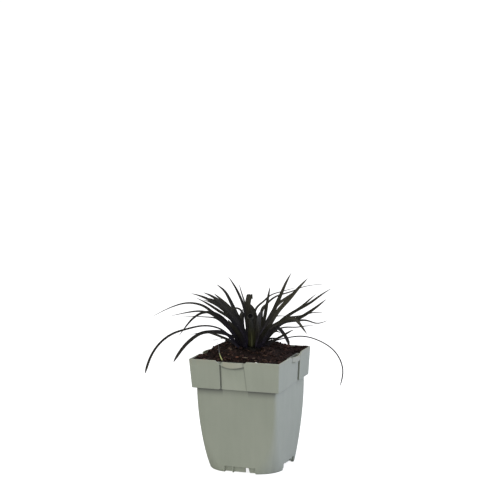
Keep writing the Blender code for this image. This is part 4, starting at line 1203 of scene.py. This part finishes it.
def leaf_strap(leaf, ground, chance):
    """The strap's loops of points, each point's place along and across the leaf, and the tip."""
    shares = list(np.linspace(0.0, LEAF_LAST_RING, LEAF_STEPS)) + [1.0]
    line = smooth_line(leaf_points(leaf, ground), shares)
    rightward = 1.0 if (line[-1] - line[0]) @ ACROSS > 0.0 else -1.0
    full_thick = LEAF_THICKNESS * min(1.0, leaf.width * MM / LEAF_FULL_THICK_WIDTH)
    reference = blade_reference(leaf)
    faced = reference
    waver = math.radians(chance.uniform(-LEAF_WAVER, LEAF_WAVER))
    phase = chance.uniform(0.0, math.tau)
    loops = []
    places = []
    for i, share in enumerate(shares[:-1]):
        ahead = line[i + 1] - line[max(i - 1, 0)]
        ahead /= np.linalg.norm(ahead)
        facing = reference - (reference @ ahead) * ahead
        facing /= np.linalg.norm(facing)
        if facing @ faced < 0.0:
            facing = -facing
        faced = facing
        side = np.cross(ahead, facing)
        turn = math.radians(leaf.turn + leaf.twist * share) + waver * math.sin(share * 4.0 + phase)
        side, normal = (side * math.cos(turn) + rightward * facing * math.sin(turn),
                        facing * math.cos(turn) - rightward * side * math.sin(turn))
        half = leaf_width(leaf, share) / 2 * (1.0 + LEAF_WIDTH_WAVE * math.sin(share * 17.0 + phase))
        thick = full_thick * (1.0 - LEAF_TIP_THINNING * share)
        section = leaf_section(half, thick, half * 2 * LEAF_FOLD)
        loops.append([line[i] + side * across + normal * up for across, up, mark in section])
        places.append([(share, mark * 0.5 + 0.5) for across, up, mark in section])
    return loops, places, line[-1]


def add_flake(strap, layer, loops, mark):
    """A closed piece that is part of a leaf, with one mark in the leaf's colour layer."""
    for row in add_loft(strap, loops):
        for corner in row:
            corner[layer] = mark


def rolled_end(strap, layer, tip, own):
    """The leaf's end is rolled into a short tube whose hollow faces the viewer, with a black disc set in it
    as painted shade.
    """
    toward, upward = ROLL_FACING
    axis = Vector(TOWARD * toward + UPWARD * upward)
    up = Vector(UPWARD * toward - TOWARD * upward)
    right = Vector(ACROSS)
    back = axis * ROLL_LENGTH
    centre = Vector(tip) + right * ROLL_SHIFT - up * ROLL_RADIUS * 0.3

    def outward(angle):
        return right * math.cos(angle) + up * math.sin(angle)

    tube = []
    for step in range(ROLL_STEPS + 1):
        share = step / ROLL_STEPS
        ray = outward(share * math.tau * ROLL_TURNS - math.pi / 2)
        inner = centre + ray * ROLL_RADIUS * blend(ROLL_START, 1.0, share)
        outer = inner + ray * ROLL_THICKNESS
        tube.append([inner, outer, outer - back, inner - back])
    add_flake(strap, layer, tube, (0.7, 0.5, *own))
    # A black disc inside the tube is painted shade in its hollow
    rays = [outward(angle) * ROLL_RADIUS * SHADE_DISC_RADIUS for angle in around(ROLL_STEPS)]
    shade_disc = [[centre - back * depth + ray for ray in rays] for depth in SHADE_DISC_DEPTHS]
    add_flake(strap, layer, shade_disc, (0.0, 0.5, 0.0, 0.0))


def torn_hook(strap, layer, tip, own):
    """A torn strip that hangs at the right of the leaf's cut end."""
    outline = [tip + ACROSS * across * MM + UPWARD * up * MM for across, up in HOOK_OUTLINE]
    loops = [[Vector(point + TOWARD * depth) for point in outline] for depth in HOOK_DEPTHS]
    add_flake(strap, layer, loops, (0.9, 0.5, *own))


LEAF_ENDS = {"leaf_middle_01": torn_hook, "leaf_middle_02": rolled_end}


def add_leaf(name, leaf, ground, chance, tone, tint_and_sheen, ending=None):
    """A leaf's mesh. Its colour layer holds the place along, the place across, the tone and the tint, which
    also sets a painted sheen.
    """
    own = (tone, tint_and_sheen)
    loops, places, tip = leaf_strap(leaf, ground, chance)
    strap = bmesh.new()
    layer = strap.verts.layers.float_color.new("leaf_place")
    rows = add_loft(strap, loops, capped=False)
    for row, marks in zip(rows, places):
        for corner, mark in zip(row, marks):
            corner[layer] = (*mark, *own)
    end = strap.verts.new(tip)
    end[layer] = (1.0, 0.5, *own)
    strap.faces.new(rows[0])
    for here, beside in zip(rows[-1], rows[-1][1:] + rows[-1][:1]):
        strap.faces.new((here, beside, end))
    if ending:
        ending(strap, layer, tip, own)
    return add_object(name, strap)


LEAF_GREEN = (0.0215, 0.0203, 0.0145, 1.0)
LEAF_PLUM = (0.0175, 0.0150, 0.0225, 1.0)
LEAF_OLIVE = (0.0390, 0.0410, 0.0160, 1.0)
LEAF_RIB = (0.3900, 0.4200, 0.2100, 1.0)
# A pale grey painted sheen for the upper part of a few leaves
LEAF_PAINTED_SHEEN = (0.0310, 0.0305, 0.0305, 1.0)
LEAF_SPECK = (0.1300, 0.1250, 0.1050, 1.0)
LEAF_DRY = (0.0400, 0.0360, 0.0280, 1.0)
SPROUT_TONE = 0.5
SPROUT_PALE = (0.42, 0.45, 0.16, 1.0)
SPROUT_GREY = (0.12, 0.12, 0.10, 1.0)
SPROUT_FOOT = (0.03, 0.02, 0.014, 1.0)
# The colour layer holds a leaf's tone as a share of this
FULL_TONE = 4.0


def leaf_parts(made):
    """The leaf's place along, place across, own tone and tint, which also sets a painted sheen."""
    colour, tint_and_sheen = attribute(made, "leaf_place")
    return (*outputs(made, "ShaderNodeSeparateColor", Color=colour), tint_and_sheen)


def leaf_veins(across, spread, height, strength):
    """Ridges along the leaf, as a wave across it."""
    return bump((across * spread).sine(), height, strength)


def leaf_black():
    """Near-black strap leaf: plum at the base, dark green above, with fine veins and a soft sheen, and a
    painted pale sheen on the upper part of a few.
    """
    made, shader = new_material("leaf_black", 0.45, 0.08)
    along, across, tone, tint_and_sheen = leaf_parts(made)
    where = object_place(made)
    from_rib = abs(across - 0.5)
    tinted = tint_and_sheen.ramp(0.5, 1.0)
    stretched = outputs(made, "ShaderNodeCombineXYZ", i0=across * 7.0, i1=along * 3.0, i2=tone * 40.0)[0]
    streaks = noise_at(stretched, 2.2)
    # Shade: the leaf's own tone with streaks and mottling, darker at its edges, and lighter near its base,
    # which is painted light that lifts the shade among the bases
    shade = streaks.ramp(0.3, 0.7, 0.6, 1.5) * (tone * along.ramp(0.7, 0.95, FULL_TONE, FULL_TONE * 1.55))
    shade = shade * from_rib.ramp(0.3, 0.48, 1.08, 0.6) * along.ramp(0.1, 0.32, 1.75, 1.0)
    shade = shade * noise_at(where, 900.0).ramp(0.35, 0.65, 0.7, 1.3)
    # Colour: a painted pale sheen on the upper part and an olive tint for some leaves, pale specks, a pale
    # rib and a dry tip
    painted_sheen = along.ramp(0.45, 0.7) * tinted.larger(tint_and_sheen.ramp(0.0, -1.0))
    olive = along.ramp(0.3, 0.65, 1.0, 0.2) * tint_and_sheen.ramp(0.0, 1.0)
    specks = noise_at(where, 700.0, 1.0).ramp(0.70, 0.76, 0.0, 0.5)
    rib = from_rib.ramp(0.02, 0.13, 1.0, 0.0) * along.ramp(0.05, 0.5, 1.0, 0.0) * tinted
    colour = patches(along.ramp(0.08, 0.5, 1.0, 0.0), LEAF_GREEN, LEAF_PLUM)
    colour = colour.mixed(LEAF_PAINTED_SHEEN, painted_sheen).mixed(LEAF_OLIVE, olive).shaded(shade)
    colour = colour.mixed(LEAF_SPECK, specks).mixed(LEAF_RIB, rib)
    colour = colour.mixed(LEAF_DRY, along.ramp(0.93, 1.0, 0.0, 0.7))
    veins = leaf_veins(across, 56.0, 0.06 * MM, 0.45)
    feed(shader, Base_Color=colour, Roughness=streaks.ramp(0.3, 0.7, 0.36, 0.5), Normal=veins)
    return made


def sprout_green():
    """A young leaf, pale yellow-green at its base and dark grey-green above."""
    made, shader = new_material("sprout_green", 0.5, 0.4)
    along, across = leaf_parts(made)[:2]
    colour = patches(along.ramp(0.22, 0.34), SPROUT_PALE, SPROUT_GREY)
    colour = colour.mixed(SPROUT_FOOT, along.ramp(0.08, 0.13, 1.0, 0.0))
    colour = colour.shaded(abs(across - 0.5).ramp(0.1, 0.5, 1.15, 0.7))
    feed(shader, Base_Color=colour, Normal=leaf_veins(across, 44.0, 0.05 * MM, 0.4))
    return made


# How light a leaf is against the others: the range of each group, and the leaves that stand out. The left
# group's darker range is painted shade, and the high tone of leaf_middle_03 is part of its painted sheen
GROUP_TONES = {"left": (0.48, 0.98), "right": (0.9, 1.5), "middle": (0.9, 1.4), "back": (0.6, 1.1)}
OWN_TONES = {"leaf_middle_01": 1.15, "leaf_middle_02": 1.1, "leaf_middle_03": 2.3, "leaf_right_02": 1.7,
             "leaf_right_03": 1.6, "leaf_left_11": 0.8, "leaf_left_09": 0.9}
# Tints and painted sheen: olive above zero, and a painted pale sheen on the upper part below zero and above
# one half
TINTS_AND_SHEENS = {"leaf_middle_02": 0.9, "leaf_middle_03": -1.0, "leaf_right_02": 0.12, "leaf_left_11": 0.12}


def make_leaves():
    chance = random.Random(LEAF_SEED)
    black = leaf_black()
    for group, leaves in LEAVES.items():
        for number, leaf in enumerate(leaves, start=1):
            name = f"{group}_{number:02d}"
            node = "leaf_" + name
            lightness = OWN_TONES.get(node, chance.uniform(*GROUP_TONES[group]))
            blade = add_leaf("blade_" + name, leaf, on_crown, chance, lightness / FULL_TONE,
                             TINTS_AND_SHEENS.get(node, 0.0), LEAF_ENDS.get(node))
            finish(blade, black, LEAF_SHARP, "leaf_black", node)
    young = add_leaf("young_leaf", SPROUT, soil_height, chance, SPROUT_TONE, 0.0)
    finish(young, sprout_green(), LEAF_SHARP, "sprout_green", "sprout")


# Crown


def crown_dome(heart):
    bottom = CROWN_HEIGHT - CROWN_SUNK
    loops = []
    for ring in range(CROWN_RINGS + 1):
        distance = CROWN_RADIUS * (1.0 - CROWN_CLOSED * max(0, ring - 1) / (CROWN_RINGS - 1))
        loop = []
        for angle in around(CROWN_SEGMENTS):
            x = distance * math.cos(angle)
            y = distance * math.sin(angle)
            top = crown_height(distance) + CROWN_CRUMBS * crumbs(x, y)
            loop.append((x, y, top if ring else bottom))
        loops.append(loop)
    add_loft(heart, loops)


def add_sheath(heart, chance):
    """A short stub of an old leaf: a small upright blade that leans away from the middle."""
    angle = chance.uniform(0.0, math.tau)
    distance = CROWN_RADIUS * (0.1 + 0.86 * math.sqrt(chance.random()))
    lean = 0.25 + 0.75 * distance / CROWN_RADIUS
    outward = Vector((math.cos(angle), math.sin(angle), 0.0))
    side = Vector((math.sin(angle), -math.cos(angle), 0.0))
    height = chance.uniform(*SHEATH_HEIGHTS) * MM
    width = chance.uniform(*SHEATH_WIDTHS) * MM
    foot = outward * distance
    foot.z = crown_height(distance) - SHEATH_SUNK
    shares = [step / SHEATH_STEPS for step in range(SHEATH_STEPS + 1)]
    rises = [Vector((0.0, 0.0, height * share * (1.3 - 0.4 * share))) for share in shares]
    centres = [foot + outward * height * lean * share + rise for share, rise in zip(shares, rises)]
    sides = [side * (width * (1.0 - 0.82 * share ** 1.6) / 2) for share in shares]
    add_bar(heart, centres, sides, [outward * SHEATH_THICKNESS * (1.0 - 0.5 * share) for share in shares])


STEM_DARK = (0.010, 0.0095, 0.008, 1.0)
STEM_LIGHT = (0.030, 0.026, 0.014, 1.0)


def crown_stem():
    made, shader = new_material("crown_stem", 0.7, 0.3)
    where = object_place(made)
    colour = patches(noise_at(where, 420.0).ramp(0.35, 0.7), STEM_DARK, STEM_LIGHT)
    feed(shader, Base_Color=colour, Normal=bump(noise_at(where, 1500.0), 0.3 * MM, 0.6))
    return made


def make_crown():
    chance = random.Random(CROWN_SEED)
    heart = bmesh.new()
    crown_dome(heart)
    for number in range(SHEATH_COUNT):
        add_sheath(heart, chance)
    finish(add_object("leaf_crown", heart), crown_stem(), CROWN_SHARP, "crown_stem", "crown")


# Studio

WHITE = (1.0, 1.0, 1.0, 1.0)
SKY_LIGHT = 0.55
SKY_SHOWN = 1.05
FLOOR_GREY = (0.5, 0.5, 0.5, 1.0)
FLOOR_GLOW = 0.86
FLOOR_SIZE = 4.0
LIT_PLACE = (0.0, 0.0, 0.09)
UP = Vector((0.0, 0.0, 1.0))
# Each soft light: its name, place, size, power and colour
LIGHTS = (
    ("light_above", (-0.1, -0.2, 1.5), 1.1, 7.0, (1.0, 1.0, 0.98)),
    ("light_right", (1.4, 0.1, 0.6), 0.9, 11.2, (0.62, 0.66, 1.0)),
    ("light_front", (-0.3, -1.5, 0.45), 1.2, 4.2, (1.0, 0.99, 0.94)),
)


def make_world():
    """White all round for the camera, and a softer white as light."""
    world = bpy.data.worlds.new("studio")
    bpy.context.scene.world = world
    world.use_nodes = True
    light = world.node_tree.nodes["Background"]
    feed(light, Color=WHITE, Strength=SKY_LIGHT)
    shown = outputs(world, "ShaderNodeBackground", Color=WHITE, Strength=SKY_SHOWN)[0]
    for_camera(world, Value(world, light.outputs[0]), shown, "World Output")


def floor_white():
    """Plain grey as light, with a glow on top for the camera."""
    made, shader = new_material("studio_floor", 0.9, 0.1)
    feed(shader, Base_Color=FLOOR_GREY)
    plain = Value(made, shader.outputs[0])
    glow = outputs(made, "ShaderNodeEmission", Color=WHITE, Strength=FLOOR_GLOW)[0]
    glowing = outputs(made, "ShaderNodeAddShader", i0=glow, i1=plain)[0]
    for_camera(made, plain, glowing, "Material Output")
    return made


def make_floor():
    sheet = bmesh.new()
    bmesh.ops.create_grid(sheet, x_segments=1, y_segments=1, size=FLOOR_SIZE)
    studio_floor = add_object("studio_floor", sheet)
    studio_floor.data.materials.append(floor_white())


def make_lights():
    for name, where, size, power, colour in LIGHTS:
        lamp = bpy.data.lights.new(name, "AREA")
        lamp.shape = "SQUARE"
        lamp.size = size
        lamp.energy = power
        lamp.color = colour
        holder = bpy.data.objects.new(name, lamp)
        holder.location = where
        holder.rotation_euler = (Vector(LIT_PLACE) - Vector(where)).to_track_quat("-Z", "Y").to_euler()
        bpy.context.scene.collection.objects.link(holder)


def make_camera():
    heading = math.radians(CAMERA_HEADING)
    height = math.radians(CAMERA_HEIGHT)
    level = math.cos(height)
    back = Vector((math.sin(heading) * level, -math.cos(heading) * level, math.sin(height)))
    right = (-back).cross(UP).normalized()
    up = right.cross(-back)
    ahead = -back + math.tan(math.radians(CAMERA_TILT)) * up + math.tan(math.radians(CAMERA_PAN)) * right
    ahead.normalize()
    level_right = ahead.cross(UP).normalized()
    level_up = level_right.cross(ahead)
    roll = math.radians(CAMERA_ROLL)
    x_axis = math.cos(roll) * level_right + math.sin(roll) * level_up
    y_axis = -math.sin(roll) * level_right + math.cos(roll) * level_up
    lens = bpy.data.cameras.new("camera")
    lens.lens = CAMERA_LENS
    lens.sensor_width = CAMERA_SENSOR
    lens.clip_start = CAMERA_NEAREST
    holder = bpy.data.objects.new("camera", lens)
    turn = Matrix((x_axis, y_axis, -ahead)).transposed().to_4x4()
    holder.matrix_world = Matrix.Translation(Vector(CAMERA_TARGET) + back * CAMERA_DISTANCE) @ turn
    bpy.context.scene.collection.objects.link(holder)
    bpy.context.scene.camera = holder


def colour_management():
    settings = bpy.context.scene.view_settings
    settings.view_transform = "Standard"
    settings.look = "None"
    settings.exposure = 0.0
    settings.gamma = 1.0


make_pot()
make_soil()
make_crown()
make_leaves()
make_world()
make_floor()
make_lights()
make_camera()
colour_management()
